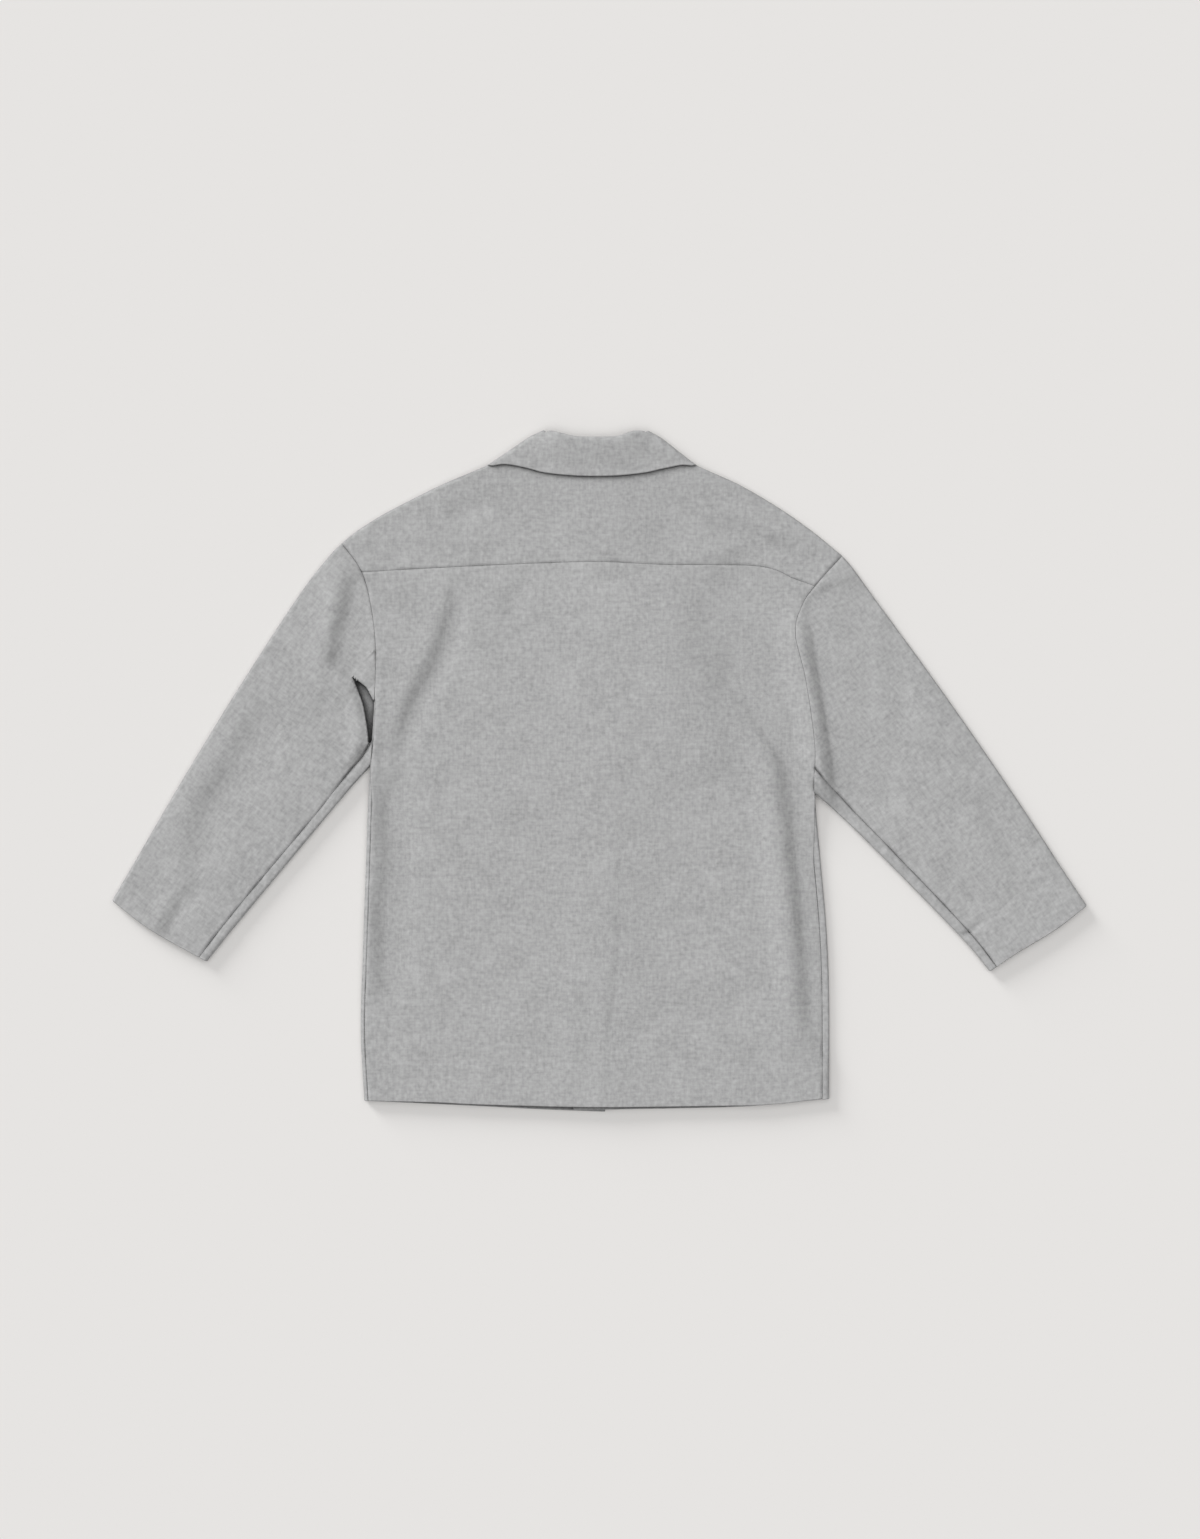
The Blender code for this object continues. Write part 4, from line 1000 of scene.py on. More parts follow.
def make_yoke():
    seam = yoke_seam + left_of(yoke_seam) * SEAM_GAP / 2
    count = 2 * SHOULDER_COLUMNS + NECK_COLUMNS
    turned = YOKE_TURN_COLUMNS + FOLD_STEPS - 1
    outer, inner = [], []
    for index, seam_point in enumerate(at(seam, np.linspace(0, 1, count))):
        from_left = index < count / 2
        place = index if from_left else count - 1 - index
        if place >= SHOULDER_COLUMNS:
            share = (index - SHOULDER_COLUMNS + 1) / (NECK_COLUMNS + 1)
            start = along(collar_column(share), [STAND_DEPTH + SEAM_GAP])
            path = np.vstack([start, seam_point])
            plan = along(path, spaced(lengths(path)[-1], YOKE_TOP_COLUMNS))
            skin = np.column_stack([plan, upper_skin(plan, "body")])
            skin = np.vstack([np.repeat(skin[:1], turned, axis=0), skin])
            outer.append(skin)
            inner.append(skin - np.array([0, 0, CLOTH]))
            continue
        share = place / (SHOULDER_COLUMNS - 1)
        top_path, under_path = yoke_paths(share, seam_point, left_yoke if from_left else right_yoke)
        high = float(upper_skin(along(top_path, [FOLD_RADIUS]), "body")[0])
        low = float(lower_skin(along(under_path, [FOLD_RADIUS]))[0])
        radius = (high - low) / 2
        under = np.linspace(lengths(under_path)[-1], radius, YOKE_TURN_COLUMNS)
        upper = radius + spaced(lengths(top_path)[-1] - radius, YOKE_TOP_COLUMNS)
        under_z = eased_to(lower_skin(along(under_path, under)), low, -1, under - radius)
        upper_z = upper_skin(along(top_path, upper), "body")
        upper_z = eased_to(upper_z, high, 0, upper - radius)
        rise = half_round(-radius, low, high, -90, FOLD_STEPS)
        section = np.vstack([
            np.column_stack([-under, under_z]), rise, np.column_stack([-upper, upper_z]),
        ])
        below = len(under) + len(rise) // 2
        for points, grid in ((section, outer), (inner_side(section), inner)):
            inset = np.maximum(-points[:, 0], 0)
            plan = np.vstack([along(under_path, inset[:below]), along(top_path, inset[below:])])
            grid.append(np.column_stack([plan, points[:, 1]]))
    kept = np.ones((count - 1, len(outer[0]) - 1), bool)
    kept[SHOULDER_COLUMNS - 1:-(SHOULDER_COLUMNS - 1), :turned] = False
    return cloth_wall("back_yoke_cloth", outer, inner, kept)


yoke_cloth = make_yoke()

# %% [markdown]
# ## Fronts
# The fronts lie on the table. Each turns up round the side to its seam on the upper side, as
# far up as the underarm, and is cut away along the armhole above. The left front is the outer
# one and laps over the right. Both have the same rows, because two grids with different rows
# would cut into each other where they lap.

# %% Rows and necklines of the fronts
FRONT_ROWS_BELOW = 120
FRONT_ROWS_BESIDE = 20
FRONT_ROWS_ABOVE = 36
FRONT_EDGE_STEPS = [
    0, 0.6, 1.4, 2.4, 4, 6, 8, 10, 12, 14.5, 17, 19.5, 22, 25, 28, 31, 35, 39, 43, 49, 55,
]
FRONT_COLUMNS = 54
NECK_SHARE = 0.55
FRONT_NECK_POINTS = 5
FRONT_STRIP_STEPS = 4
TURN_POINTS = 12


def front_levels():
    """Shares of the fronts' height, the same on both so that the lap lies well."""
    splits = []
    for side, underarm_y in ((left_side, LEFT_UNDERARM_Y), (right_side, RIGHT_UNDERARM_Y)):
        reach = lengths(side)[-1] - YOKE_TURN - SEAM_GAP
        splits.append(reach_at_height(side, underarm_y) / reach)
    height = lengths(left_side)[-1]
    below = np.concatenate([np.array(NEAR_STEPS[:-1]) / height,
                            np.linspace(NEAR_STEPS[-1] / height, splits[0], FRONT_ROWS_BELOW)])
    return np.concatenate([
        below,
        np.linspace(splits[0], splits[1], FRONT_ROWS_BESIDE)[1:],
        np.linspace(splits[1], 1, FRONT_ROWS_ABOVE)[1:],
    ])


def neck_line(leaf_roll, leaf_edge, centre, under):
    """Upper edge of a front: beside the stand, then beside the yoke's turned-under edge."""
    points = [centre]
    for share in np.linspace(0, NECK_SHARE, FRONT_NECK_POINTS):
        line = across_collar(smooth(leaf_roll), smooth(leaf_edge), share)
        points.append(along(line, [STAND_DEPTH + SIDE_SEAM_GAP + SEAM_GAP])[0])
    seam = at(under, np.linspace(1, 0, SHOULDER_COLUMNS))
    inward = left_of(seam)
    inward *= np.sign((np.array(centre) - seam[0]) @ inward[0])
    return np.vstack([points, seam + inward * SIDE_SEAM_GAP])


print("fronts have", len(front_levels()), "rows")


# %% Fronts
def make_front(name, edge, hem, side, insets, turned_rows, upper_edge, skin):
    side = stretch(side, 0, lengths(side)[-1] - YOKE_TURN - SEAM_GAP, SIDE_POINTS)
    patch = (hem, np.vstack([upper_edge[:-1], side[-1:]]), edge, side)
    levels = front_levels()
    paths = [patch_row(patch, level) for level in levels]
    widths = np.array([lengths(path)[-1] for path in paths])
    ends = plan_points(paths, [[width - FOLD_RADIUS] for width in widths])
    highs = upper_skin(ends, "body")
    turned = np.arange(len(levels)) < turned_rows
    flat_ends = np.where(turned, widths - highs / 2, widths - SEAM_GAP / 2)
    flats = []
    for end in flat_ends:
        rest = np.linspace(FRONT_EDGE_STEPS[-1], end, FRONT_COLUMNS)[1:]
        flats.append(np.concatenate([FRONT_EDGE_STEPS, rest]))
    flat_z = skin(plan_points(paths, flats)).reshape(len(levels), -1)
    insets = np.interp(at(side, levels)[:, 1], *np.array(insets).T)
    strips = [np.linspace(end, min(width - inset, end), FRONT_STRIP_STEPS + 1)
              for end, width, inset in zip(flat_ends, widths, insets)]
    strip_z = upper_skin(plan_points(paths, strips), "body").reshape(len(levels), -1)
    outer, inner = [], []
    for row, path in enumerate(paths):
        section = np.column_stack([flats[row], flat_z[row]])
        if turned[row]:
            gaps = np.abs(strips[row] - flat_ends[row])
            strip_z[row] = eased_to(strip_z[row], highs[row], 0, gaps)
            radius = (highs[row] - flat_z[row, -1]) / 2
            reach = widths[row] - insets[row] - flat_ends[row]
            last = math.acos(min(max(reach / radius, 0), 1))
            angles = np.linspace(-math.pi / 2, last, CURVE_STEPS)
            turn = np.column_stack([
                flat_ends[row] + radius * np.cos(angles),
                flat_z[row, -1] + radius + radius * np.sin(angles),
            ])
            if reach < 0:
                turn = np.vstack([turn, np.column_stack([strips[row], strip_z[row]])[1:]])
            section = np.vstack([section, at(turn, np.linspace(0, 1, TURN_POINTS + 1)[1:])])
        spare = TURN_POINTS + flat_z.shape[1] - len(section)
        for points, grid in ((section, outer), (inner_side(section), inner)):
            grid.append(placed(path, np.vstack([points, np.repeat(points[-1:], spare, axis=0)])))
    kept = np.ones((len(levels) - 1, len(outer[0]) - 1), bool)
    kept[turned_rows - 1:, flat_z.shape[1] - 1:] = False
    return cloth_wall(name, outer, inner, kept)


left_front_cloth = make_front(
    "front_left_cloth", left_front_edge, smooth(LEFT_FRONT_HEM), left_side, LEFT_SEAM_INSET,
    len(NEAR_STEPS) - 1 + FRONT_ROWS_BELOW,
    neck_line(LEFT_LEAF_ROLL, LEFT_LEAF_EDGE, LEFT_FRONT_EDGE[-1], left_yoke[1]), lower_skin,
)
right_front_cloth = make_front(
    "front_right_cloth", smooth(RIGHT_FRONT_EDGE), smooth(RIGHT_FRONT_HEM), right_side,
    RIGHT_SEAM_INSET, len(NEAR_STEPS) - 1 + FRONT_ROWS_BELOW + FRONT_ROWS_BESIDE - 1,
    neck_line(RIGHT_LEAF_ROLL[::-1], RIGHT_LEAF_EDGE[::-1], RIGHT_FRONT_EDGE[-1], right_yoke[1]),
    lapped_skin,
)

# %% [markdown]
# ## Collar
# The collar is one strip: a stand that rises from the neck, a roll at the top, and a fall that
# comes down over the yoke. At the sides of the neck it folds round onto the fronts, so its
# ends lie as leaves on the table. A sheet could be bent with modifiers, but turning one section
# along the neck keeps its width. The fall's edge springs up a little in the middle of the back,
# which gives it a dark line of shade.

# %% Collar
LEAF_COLUMNS = 26
TURN_COLUMNS = 11
STAND_COLUMNS = 10
FALL_COLUMNS = 22
ROLL_RISE = 3.4
ROLL_RISE_SHARE = 0.2
FALL_SPRING = 0.3
FALL_SPRING_REACH = 7.0
TIP_BULGE = 0.62
TIP_REACH = 18.0
END_LEAN = 0.12


def make_collar():
    left_away = side_fold(FALL_EDGE[0], ROLL_EDGE[0], 1)[1]
    right_away = side_fold(FALL_EDGE[-1], ROLL_EDGE[-1], -1)[1]
    # Columns: plan line from roll to edge, turn from the back, outward direction, share of the back
    columns = []
    for share in np.linspace(0, 1, LEAF_COLUMNS + 1)[:-1]:
        line = across_collar(smooth(LEFT_LEAF_ROLL), smooth(LEFT_LEAF_EDGE), share)
        columns.append((line, math.pi, left_away, 0.0))
    for turn in np.linspace(math.pi, 0, TURN_COLUMNS):
        columns.append((collar_column(0), turn, left_away, 0.0))
    for share in np.linspace(0, 1, NECK_COLUMNS + 2)[1:-1]:
        columns.append((collar_column(share), 0.0, left_away, share))
    for turn in np.linspace(0, math.pi, TURN_COLUMNS):
        columns.append((collar_column(1), turn, right_away, 1.0))
    for share in np.linspace(0, 1, LEAF_COLUMNS + 1)[1:]:
        line = across_collar(smooth(RIGHT_LEAF_ROLL), smooth(RIGHT_LEAF_EDGE), share)
        columns.append((line, math.pi, right_away, 1.0))
    outer, inner = [], []
    for line, turn, away, share in columns:
        width = lengths(line)[-1]
        rise = ROLL_RISE * float(ease(min(share, 1 - share) / ROLL_RISE_SHARE))
        roll_radius = (FALL_RADIUS + rise - STAND_RADIUS) / 2
        stand = np.linspace(STAND_DEPTH, roll_radius, STAND_COLUMNS)
        fall = roll_radius + spaced(width - roll_radius, FALL_COLUMNS)
        spring = FALL_SPRING * math.sin(math.pi * share)
        lift = spring * ease((fall - width + FALL_SPRING_REACH) / FALL_SPRING_REACH)
        lift += rise * (1 - ease((fall - roll_radius) / (width - roll_radius)))
        section = np.vstack([
            np.column_stack([-stand, np.full(len(stand), STAND_RADIUS)]),
            half_round(-roll_radius, STAND_RADIUS, FALL_RADIUS + rise, -90, FOLD_STEPS),
            np.column_stack([-fall, FALL_RADIUS + lift]),
        ])
        for points, grid in ((section, outer), (inner_side(section), inner)):
            inset = np.maximum(-points[:, 0], 0)
            bulge = points[:, 1] * math.sin(turn)
            bulge *= TIP_BULGE + (1 - TIP_BULGE) * ease(inset / TIP_REACH)
            level = ease(inset / width)[:, None]
            aside = away * (1 - level) + np.array([math.copysign(1, away[0]), END_LEAN]) * level
            plan = along(line, inset) + aside * bulge[:, None]
            grid.append(np.column_stack([plan, NECK_AXIS_HEIGHT + points[:, 1] * math.cos(turn)]))
    return cloth_wall("collar_cloth", outer, inner)


collar_cloth = make_collar()

# %% [markdown]
# ## Buttons
# Five moulded buttons close the hidden front, and their faces lie on the table. A button is a
# turned form: rings of points along a profile make its rim, and the flat floor of its dish is
# filled round four holes. A boolean could cut the holes, but filling between loops is exact.
# Two bars of sewing thread, three strands each, go through the holes.

# %% Sizes of a button
# Columns: radius, height, from the dish's floor round the rim to the back
BUTTON_PROFILE = [
    (5.0, 0.8), (5.4, 0.5), (6.0, 0.15), (6.9, 0.0), (7.9, 0.12), (8.6, 0.45), (8.95, 0.95),
    (9.0, 1.25), (8.8, 1.7), (8.2, 2.1), (7.0, 2.35), (5.0, 2.4),
]
BUTTON_STEPS = 64
HOLE_OFFSET = 1.6
HOLE_RADIUS = 0.95
HOLE_STEPS = 20
HOLE_CORNERS = [(-1, -1), (1, -1), (1, 1), (-1, 1)]
STRAND_OFFSETS = [-0.45, 0.0, 0.45]
STRAND_RADIUS = 0.24
STRAND_STEPS = 8
STRAND_POINTS = 33
# Columns: distance across the button, height
STRAND_PATH = [(-1.6, 2.5), (-1.6, 0.9), (-1.2, 0.5), (0, 0.4), (1.2, 0.5), (1.6, 0.9), (1.6, 2.5)]
BUTTON_TURNS = [12.0, -25.0, 41.0, 5.0, -52.0]
SHARP_ANGLE = 40.0


print("button is", 2 * BUTTON_RADIUS, "mm wide")


# %% Loops and thread
def loop(shape, points):
    """New points of a closed loop."""
    return [shape.verts.new(point) for point in points]


def circle(radius, steps, x, y, z):
    angles = np.linspace(0, 2 * math.pi, steps, endpoint=False)
    return [(x + radius * math.cos(a), y + radius * math.sin(a), z) for a in angles]


def bridge(shape, first, second):
    """Faces between two loops, and the faces made."""
    count = len(first)
    return [
        shape.faces.new((first[k], first[(k + 1) % count], second[(k + 1) % count], second[k]))
        for k in range(count)
    ]


def add_strand(shape, y):
    """One strand of thread through two holes."""
    path = smooth(STRAND_PATH, STRAND_POINTS)
    angles = np.linspace(0, 2 * math.pi, STRAND_STEPS, endpoint=False)
    loops = []
    for (x, z), (side_x, side_z) in zip(path, left_of(path)):
        reach = STRAND_RADIUS * np.cos(angles)
        rise = STRAND_RADIUS * np.sin(angles)
        ring = [(x + r * side_x, y + s, z + r * side_z) for r, s in zip(reach, rise)]
        loops.append(loop(shape, ring))
    faces = [shape.faces.new(loops[0]), shape.faces.new(loops[-1])]
    for first, second in zip(loops, loops[1:]):
        faces += bridge(shape, first, second)
    for face in faces:
        face.material_index = 1


# %% Buttons
def make_button(number, turn):
    shape = bmesh.new()
    rim = [loop(shape, circle(radius, BUTTON_STEPS, 0, 0, z)) for radius, z in BUTTON_PROFILE]
    for first, second in zip(rim, rim[1:]):
        bridge(shape, first, second)
    holes = []
    for x, y in HOLE_CORNERS:
        ends = [loop(shape, circle(HOLE_RADIUS, HOLE_STEPS, x * HOLE_OFFSET, y * HOLE_OFFSET, z))
                for z in (BUTTON_PROFILE[0][1], BUTTON_PROFILE[-1][1])]
        bridge(shape, *ends)
        holes.append(ends)
    for rim_loop, end in ((rim[0], 0), (rim[-1], 1)):
        corners = set(rim_loop).union(*(hole[end] for hole in holes))
        edges = [edge for edge in shape.edges if set(edge.verts) <= corners]
        bmesh.ops.triangle_fill(shape, use_beauty=True, edges=edges)
    for y in (-HOLE_OFFSET, HOLE_OFFSET):
        for offset in STRAND_OFFSETS:
            add_strand(shape, y + offset)
    bmesh.ops.recalc_face_normals(shape, faces=shape.faces[:])
    angle = math.radians(turn)
    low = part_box(f"button_{number}")[0]
    middle_y = BUTTON_FIRST_Y - BUTTON_PITCH * (number - 1)
    for point in shape.verts:
        x, y, z = point.co
        point.co = (
            (BUTTON_X + x * math.cos(angle) - y * math.sin(angle)) * MM,
            (middle_y + x * math.sin(angle) + y * math.cos(angle)) * MM,
            low[2] + z * MM,
        )
    mesh = bpy.data.meshes.new(f"button_{number}_turned")
    shape.to_mesh(mesh)
    shape.free()
    mesh.shade_smooth()
    mesh.set_sharp_from_angle(angle=math.radians(SHARP_ANGLE))
    return add_object(f"button_{number}_turned", mesh)


buttons = [make_button(number, turn) for number, turn in enumerate(BUTTON_TURNS, 1)]
print(len(buttons), "buttons of", len(buttons[0].data.polygons), "faces")

# %% [markdown]
# ## Camera
# The picture was taken from straight above. One pixel of it is one millimetre, so the view is
# 1200 by 1539 mm, and a long lens keeps the flat garment free of perspective.

# %% Camera
LENS = 80.0
SENSOR = 36.0
VIEW_HEIGHT = 1539.0
VIEW_CENTRE = (0.5, 1.5)

camera = add_object("camera", bpy.data.cameras.new("camera"))
camera.data.lens = LENS
camera.data.sensor_width = SENSOR
camera.location = (VIEW_CENTRE[0] * MM, VIEW_CENTRE[1] * MM, VIEW_HEIGHT * MM * LENS / SENSOR)
bpy.context.scene.camera = camera
print("camera is", round(camera.location.z, 2), "m above the table")

# %% [markdown]
# ## Materials
# The cloth is a wool flannel: light and dark fibres are blended before spinning, then the woven
# cloth is milled until its surface felts. That gives the eye a soft grey with fine mottling,
# faint streaks along warp and weft, no gloss, and a thin haze of nap where the light grazes it.
# Noise textures stand for the fibres, each scaled from a real size. Shade is painted into the
# colour: an occlusion node darkens what faces up in crevices, seams and near edges, more than
# three broad lights shade it. It is left off the underside, which lies in the shade of the table
# anyway.

# %% Node helper and colours
TONE_RANGE = (0.3, 0.7)


def linear(hex_colour):
    """Linear RGBA from an sRGB hex value."""
    parts = [int(hex_colour[k:k + 2], 16) / 255 for k in (1, 3, 5)]
    return [p / 12.92 if p <= 0.04045 else ((p + 0.055) / 1.055) ** 2.4 for p in parts] + [1.0]


def add_node(tree, kind, settings=None, inputs=None):
    """A node with its settings, and with values or links for its inputs."""
    node = tree.nodes.new(kind)
    for key, value in (settings or {}).items():
        setattr(node, key, value)
    for key, value in (inputs or {}).items():
        if isinstance(value, bpy.types.NodeSocket):
            tree.links.new(value, node.inputs[key])
        else:
            node.inputs[key].default_value = value
    return node


def new_material(name):
    """An empty node material with its Principled shader."""
    material = bpy.data.materials.new(name)
    material.use_nodes = True
    return material, material.node_tree, material.node_tree.nodes["Principled BSDF"]


def two_tone(tree, pattern, dark, light):
    """Colour between two tones by a pattern."""
    ramp = add_node(tree, "ShaderNodeValToRGB", inputs={"Fac": pattern})
    for element, tone, position in zip(ramp.color_ramp.elements, (dark, light), TONE_RANGE):
        element.position = position
        element.color = linear(tone)
    return ramp.outputs["Color"]


print("sRGB #808080 is", round(linear("#808080")[0], 3), "in linear light")


# %% Wool flannel
DARK_FIBRE = "#8b8b8b"
LIGHT_FIBRE = "#b1b1b1"
# A fibre is 0.02 mm thick and the yarns are about 0.7 mm apart, too fine for a picture of 1 mm
# to the pixel, so the blend, its streaks and the nap are drawn as coarse as they need to show
BLEND_MM = 4.1
STREAK_WIDTH_MM = 2.1
STREAK_LENGTH_MM = 13.0
CLOUD_MM = 30.0
NAP_MM = 1.1
# Shares of the colour: blend, streaks along warp and weft, cloud
FIBRE_SHARES = (0.44, 0.22, 0.19, 0.15)
# Painted shade: the colour is darkened where an occlusion node finds cloth close by
CREVICE_MM = 30.0
CREVICE_RAYS = 6
CREVICE_CLOSED = 0.5
CREVICE_OPEN = 0.92
CREVICE_SHADE_TONE = 0.1


def per_metre(size_mm):
    """Noise scale whose features have a size in millimetres."""
    return 1 / (size_mm * MM)


def wool_flannel(name, grain_degrees):
    """Melange wool whose warp runs at an angle to the Y axis, with shade painted into its crevices.
    """
    material, tree, shader = new_material(name)
    place = add_node(tree, "ShaderNodeTexCoord").outputs["Object"]
    grain = add_node(tree, "ShaderNodeMapping", inputs={
        "Vector": place, "Rotation": (0, 0, math.radians(-grain_degrees)),
    }).outputs["Vector"]
    blend = add_node(tree, "ShaderNodeTexNoise", inputs={
        "Vector": grain, "Scale": per_metre(BLEND_MM), "Detail": 2.0, "Roughness": 0.5,
    }).outputs["Fac"]
    streaks = []
    for size in ((STREAK_WIDTH_MM, STREAK_LENGTH_MM), (STREAK_LENGTH_MM, STREAK_WIDTH_MM)):
        stretched = add_node(tree, "ShaderNodeMapping", inputs={
            "Vector": grain, "Scale": (per_metre(size[0]), per_metre(size[1]), per_metre(BLEND_MM)),
        }).outputs["Vector"]
        streaks.append(add_node(tree, "ShaderNodeTexNoise", inputs={
            "Vector": stretched, "Scale": 1.0, "Detail": 2.0,
        }).outputs["Fac"])
    cloud = add_node(tree, "ShaderNodeTexNoise", inputs={
        "Vector": grain, "Scale": per_metre(CLOUD_MM), "Detail": 2.0,
    }).outputs["Fac"]
    mix = 0.0
    for share, part in zip(FIBRE_SHARES, (blend, *streaks, cloud)):
        mix = add_node(tree, "ShaderNodeMath", {"operation": "MULTIPLY_ADD"}, {
            0: part, 1: share, 2: mix,
        }).outputs["Value"]
    tone = two_tone(tree, mix, DARK_FIBRE, LIGHT_FIBRE)
    # Painted shade: occlusion darkens the colour in crevices, seams and near edges, on faces that
    # point up
    crevice = add_node(tree, "ShaderNodeAmbientOcclusion", {"samples": CREVICE_RAYS}, {
        "Distance": CREVICE_MM * MM,
    }).outputs["AO"]
    depth = add_node(tree, "ShaderNodeMapRange", inputs={
        "Value": crevice, "From Min": CREVICE_CLOSED, "From Max": CREVICE_OPEN,
        "To Min": CREVICE_SHADE_TONE, "To Max": 1.0,
    }).outputs["Result"]
    facing = add_node(tree, "ShaderNodeSeparateXYZ", inputs={
        "Vector": add_node(tree, "ShaderNodeNewGeometry").outputs["Normal"],
    }).outputs["Z"]
    painted_shade_mask = add_node(tree, "ShaderNodeMapRange", inputs={
        "Value": facing, "From Min": 0.25, "From Max": 0.65,
    }).outputs["Result"]
    painted_crevice_shade = add_node(tree, "ShaderNodeMix", {"data_type": "RGBA", "blend_type": "MULTIPLY"}, {
        "Factor": painted_shade_mask, "A": tone, "B": depth,
    })
    tree.links.new(painted_crevice_shade.outputs["Result"], shader.inputs["Base Color"])
    nap = add_node(tree, "ShaderNodeTexNoise", inputs={
        "Vector": grain, "Scale": per_metre(NAP_MM), "Detail": 4.0, "Roughness": 0.7,
    }).outputs["Fac"]
    bump = add_node(tree, "ShaderNodeBump", inputs={
        "Height": nap, "Strength": 0.5, "Distance": 0.4 * MM,
    })
    tree.links.new(bump.outputs["Normal"], shader.inputs["Normal"])
    shader.inputs["Roughness"].default_value = 0.95
    shader.inputs["Specular IOR Level"].default_value = 0.2
    shader.inputs["Sheen Weight"].default_value = 0.12
    shader.inputs["Sheen Roughness"].default_value = 0.6
    return material


LEFT_SLEEVE_GRAIN = -37.0
RIGHT_SLEEVE_GRAIN = 36.0
body_wool = wool_flannel("wool_flannel_body", 0.0)
collar_wool = wool_flannel("wool_flannel_collar", 90.0)
left_sleeve_wool = wool_flannel("wool_flannel_left_sleeve", LEFT_SLEEVE_GRAIN)
right_sleeve_wool = wool_flannel("wool_flannel_right_sleeve", RIGHT_SLEEVE_GRAIN)
for wool in (body_wool, collar_wool, left_sleeve_wool, right_sleeve_wool):
    print("material:", wool.name)

# %% [markdown]
# The buttons are a moulded resin, dark and matt, with a faint cloud in the colour from the
# flow of the melt and a fine grain from the mould. They are sewn on with a spun thread, whose
# twist shows as slanting bands.

# %% Button resin and thread
RESIN_DARK = "#4c4c4f"
RESIN_LIGHT = "#626265"
RESIN_CLOUD_MM = 4.0
MOULD_GRAIN_MM = 0.25
THREAD_DARK = "#77777a"
THREAD_LIGHT = "#a3a3a6"
TWIST_MM = 0.5

resin, tree, shader = new_material("moulded_resin")
place = add_node(tree, "ShaderNodeTexCoord").outputs["Object"]
melt = add_node(tree, "ShaderNodeTexNoise", inputs={
    "Vector": place, "Scale": per_metre(RESIN_CLOUD_MM), "Detail": 3.0, "Distortion": 1.2,
}).outputs["Fac"]
tone = two_tone(tree, melt, RESIN_DARK, RESIN_LIGHT)
tree.links.new(tone, shader.inputs["Base Color"])
grain = add_node(tree, "ShaderNodeTexNoise", inputs={
    "Vector": place, "Scale": per_metre(MOULD_GRAIN_MM), "Detail": 2.0,
}).outputs["Fac"]
bump = add_node(tree, "ShaderNodeBump", inputs={
    "Height": grain, "Strength": 0.3, "Distance": 0.05 * MM,
})
tree.links.new(bump.outputs["Normal"], shader.inputs["Normal"])
shader.inputs["Roughness"].default_value = 0.5

sewing_thread, tree, shader = new_material("spun_thread")
place = add_node(tree, "ShaderNodeTexCoord").outputs["Object"]
twist = add_node(tree, "ShaderNodeTexWave", {"bands_direction": "DIAGONAL"}, {
    "Vector": place, "Scale": per_metre(TWIST_MM) / (2 * math.pi), "Distortion": 1.0,
}).outputs["Fac"]
tone = two_tone(tree, twist, THREAD_DARK, THREAD_LIGHT)
tree.links.new(tone, shader.inputs["Base Color"])
shader.inputs["Roughness"].default_value = 0.8
shader.inputs["Specular IOR Level"].default_value = 0.3
print("materials:", resin.name, sewing_thread.name)

# %% [markdown]
# ## Table and light
# The ground is a plain pale sheet. The light is soft from all round, with a broad low source
# at the upper left, which lays a soft shade of about 40 mm below and to the right of the cloth.
# One low lamp cannot give both that shade and the folds, so two do it: light linking lets the
# lower one fall on the table alone and the higher one on the cloth alone.

# %% Table
GROUND = "#e4e2e0"
TABLE_SIZE = 12.0
TABLE_GAP = 0.2

mesh = bpy.data.meshes.new("table")
half = TABLE_SIZE / 2
corners = [(-half, -half), (half, -half), (half, half), (-half, half)]
mesh.from_pydata([(x, y, -TABLE_GAP * MM) for x, y in corners], [], [(0, 1, 2, 3)])
table = add_object("table", mesh)
table_material, _, table_shader = new_material("matt_paper")
table_shader.inputs["Base Color"].default_value = linear(GROUND)
table_shader.inputs["Roughness"].default_value = 1.0
table_shader.inputs["Specular IOR Level"].default_value = 0.0
mesh.materials.append(table_material)
print("table of", TABLE_SIZE, "m")

# %% Light
LIGHT_LEVEL = 1.0
FILL_SHARE = 0.4
# Columns: name, what it lights, share of light, elevation, turn to the left, width in degrees
SOFTBOXES = [
    ("overhead_softbox", None, 0.4, 90.0, 0.0, 90.0),
    ("low_softbox", "table", 0.22, 13.0, 42.0, 22.0),
    ("key_softbox", "cloth", 0.36, 26.0, 50.0, 30.0),
]

world = bpy.data.worlds.new("studio")
world.use_nodes = True
world.node_tree.nodes["Background"].inputs["Color"].default_value = (1, 1, 1, 1)
world.node_tree.nodes["Background"].inputs["Strength"].default_value = LIGHT_LEVEL * FILL_SHARE
bpy.context.scene.world = world

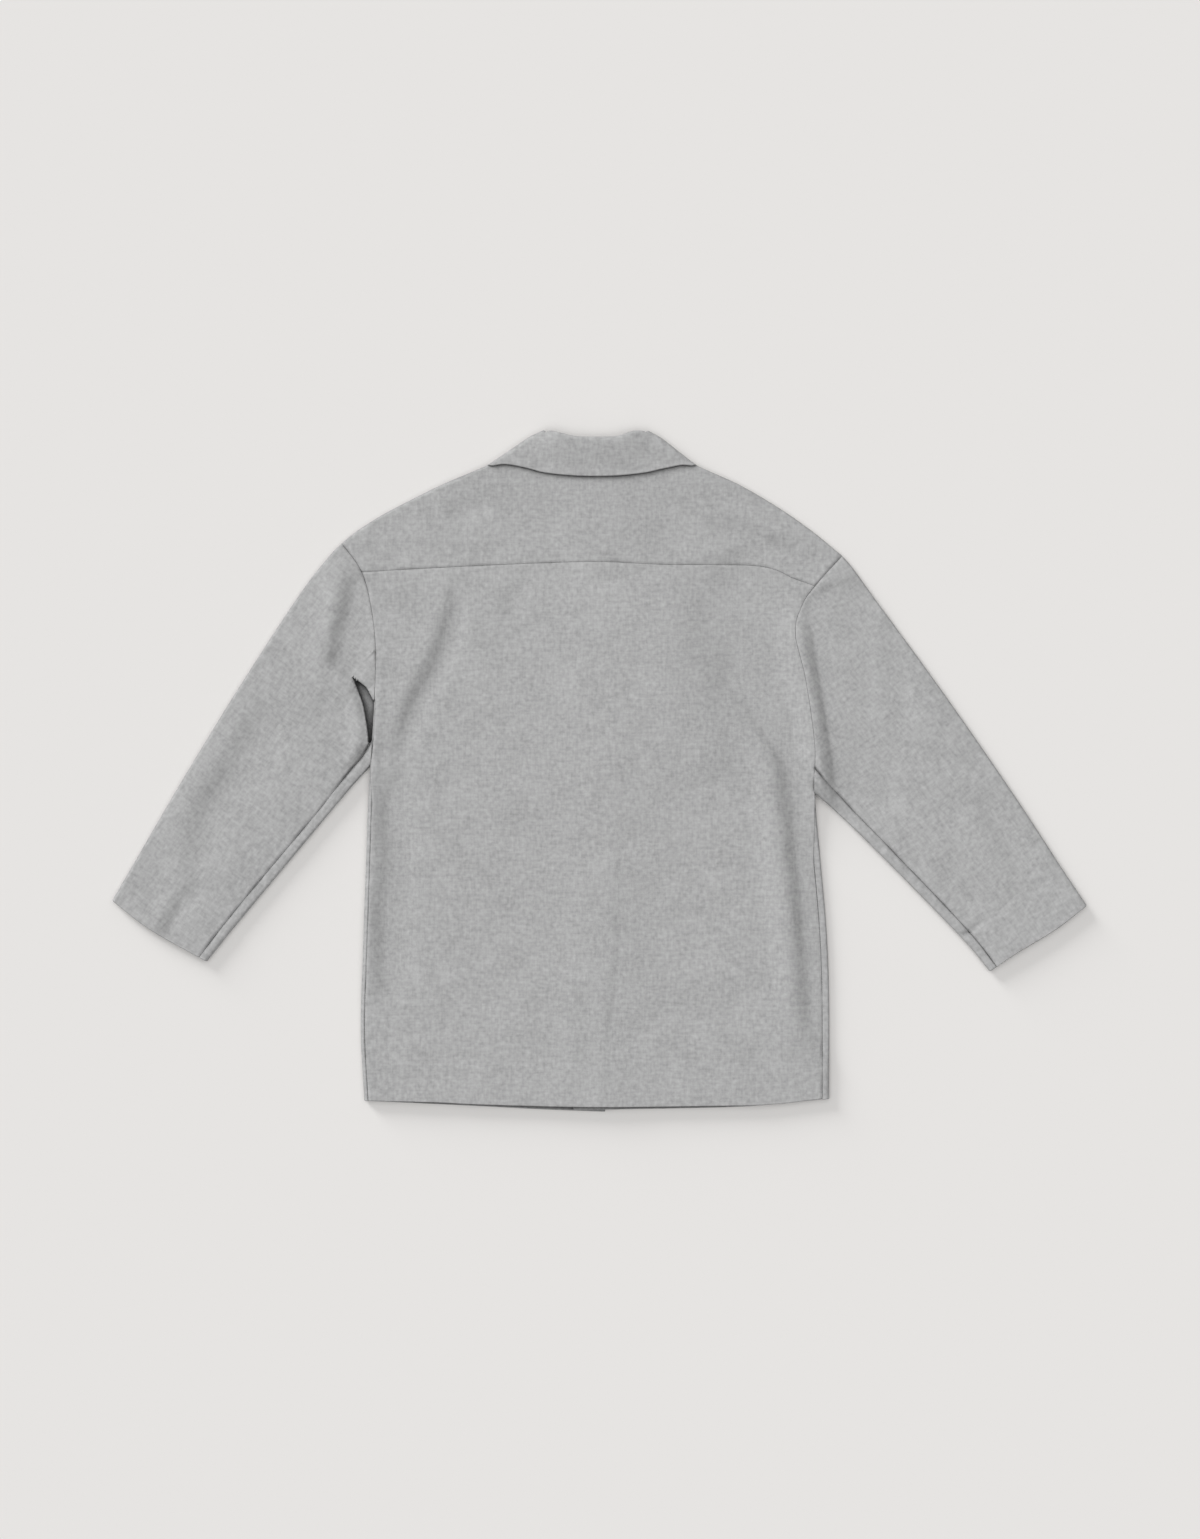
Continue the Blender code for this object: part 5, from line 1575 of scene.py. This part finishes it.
lit = {"table": bpy.data.collections.new("table"), "cloth": bpy.data.collections.new("cloth")}
lit["table"].objects.link(table)
for piece in (back_cloth, yoke_cloth, left_front_cloth, right_front_cloth, left_sleeve_cloth,
              right_sleeve_cloth, collar_cloth, *buttons):
    lit["cloth"].objects.link(piece)
for name, receiver, share, elevation, turn, width in SOFTBOXES:
    light = add_object(name, bpy.data.lights.new(name, "SUN"))
    light.data.angle = math.radians(width)
    light.data.energy = LIGHT_LEVEL * share * math.pi / math.sin(math.radians(elevation))
    light.rotation_euler = (math.radians(elevation - 90), 0, math.radians(turn))
    if receiver:
        light.light_linking.receiver_collection = lit[receiver]
    print(name, "energy", round(light.data.energy, 2))
bpy.context.scene.view_settings.view_transform = "Standard"

# %% [markdown]
# ## Dress the frame
# Every finer piece rides on the one body and replaces its plain solid. A table gives the flat
# size that each cloth piece was cut to, of what shows, all round on a sleeve, without hems and
# seam allowances, and its area is printed beside its flat area.

# %% Cloth pieces
fronts = [left_front_cloth, right_front_cloth]
# Columns: piece, node, wool, flat width and length in metres, flat area, what it lies on
SHEETS = [
    (back_cloth, "back_panel", body_wool, (0.47, 0.55), 0.240, fronts),
    (yoke_cloth, "back_yoke", body_wool, (0.53, 0.155), 0.052, fronts),
    (left_front_cloth, "front_left", body_wool, (0.27, 0.60), 0.148, [table, *buttons]),
    (right_front_cloth, "front_right", body_wool, (0.27, 0.60), 0.146, [table, left_front_cloth]),
    (left_sleeve_cloth, "sleeve_left", left_sleeve_wool, (0.45, 0.42), 0.103, [table]),
    (right_sleeve_cloth, "sleeve_right", right_sleeve_wool, (0.45, 0.42), 0.108, [table]),
    (collar_cloth, "collar", collar_wool, (0.40, 0.10), 0.029, [table, yoke_cloth]),
]
for piece, node, wool, flat, flat_area, below in SHEETS:
    piece.data.materials.append(wool)
    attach(piece, "root")
    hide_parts(node)
    shape = bmesh.new()
    shape.from_mesh(piece.data)
    area = sum(face.calc_area() for face in shape.faces) / 2
    volume = shape.calc_volume() / MM**3
    print(node, "area", round(area, 4), "of", flat_area, "m2, volume", round(volume), "mm3")
    shape.free()

# %% Buttons on the frame
for number, button in enumerate(buttons, 1):
    button.data.materials.append(resin)
    button.data.materials.append(sewing_thread)
    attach(button, "root")
    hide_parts(f"button_{number}")
print("dressed", len(SHEETS), "cloth pieces and", len(buttons), "buttons")
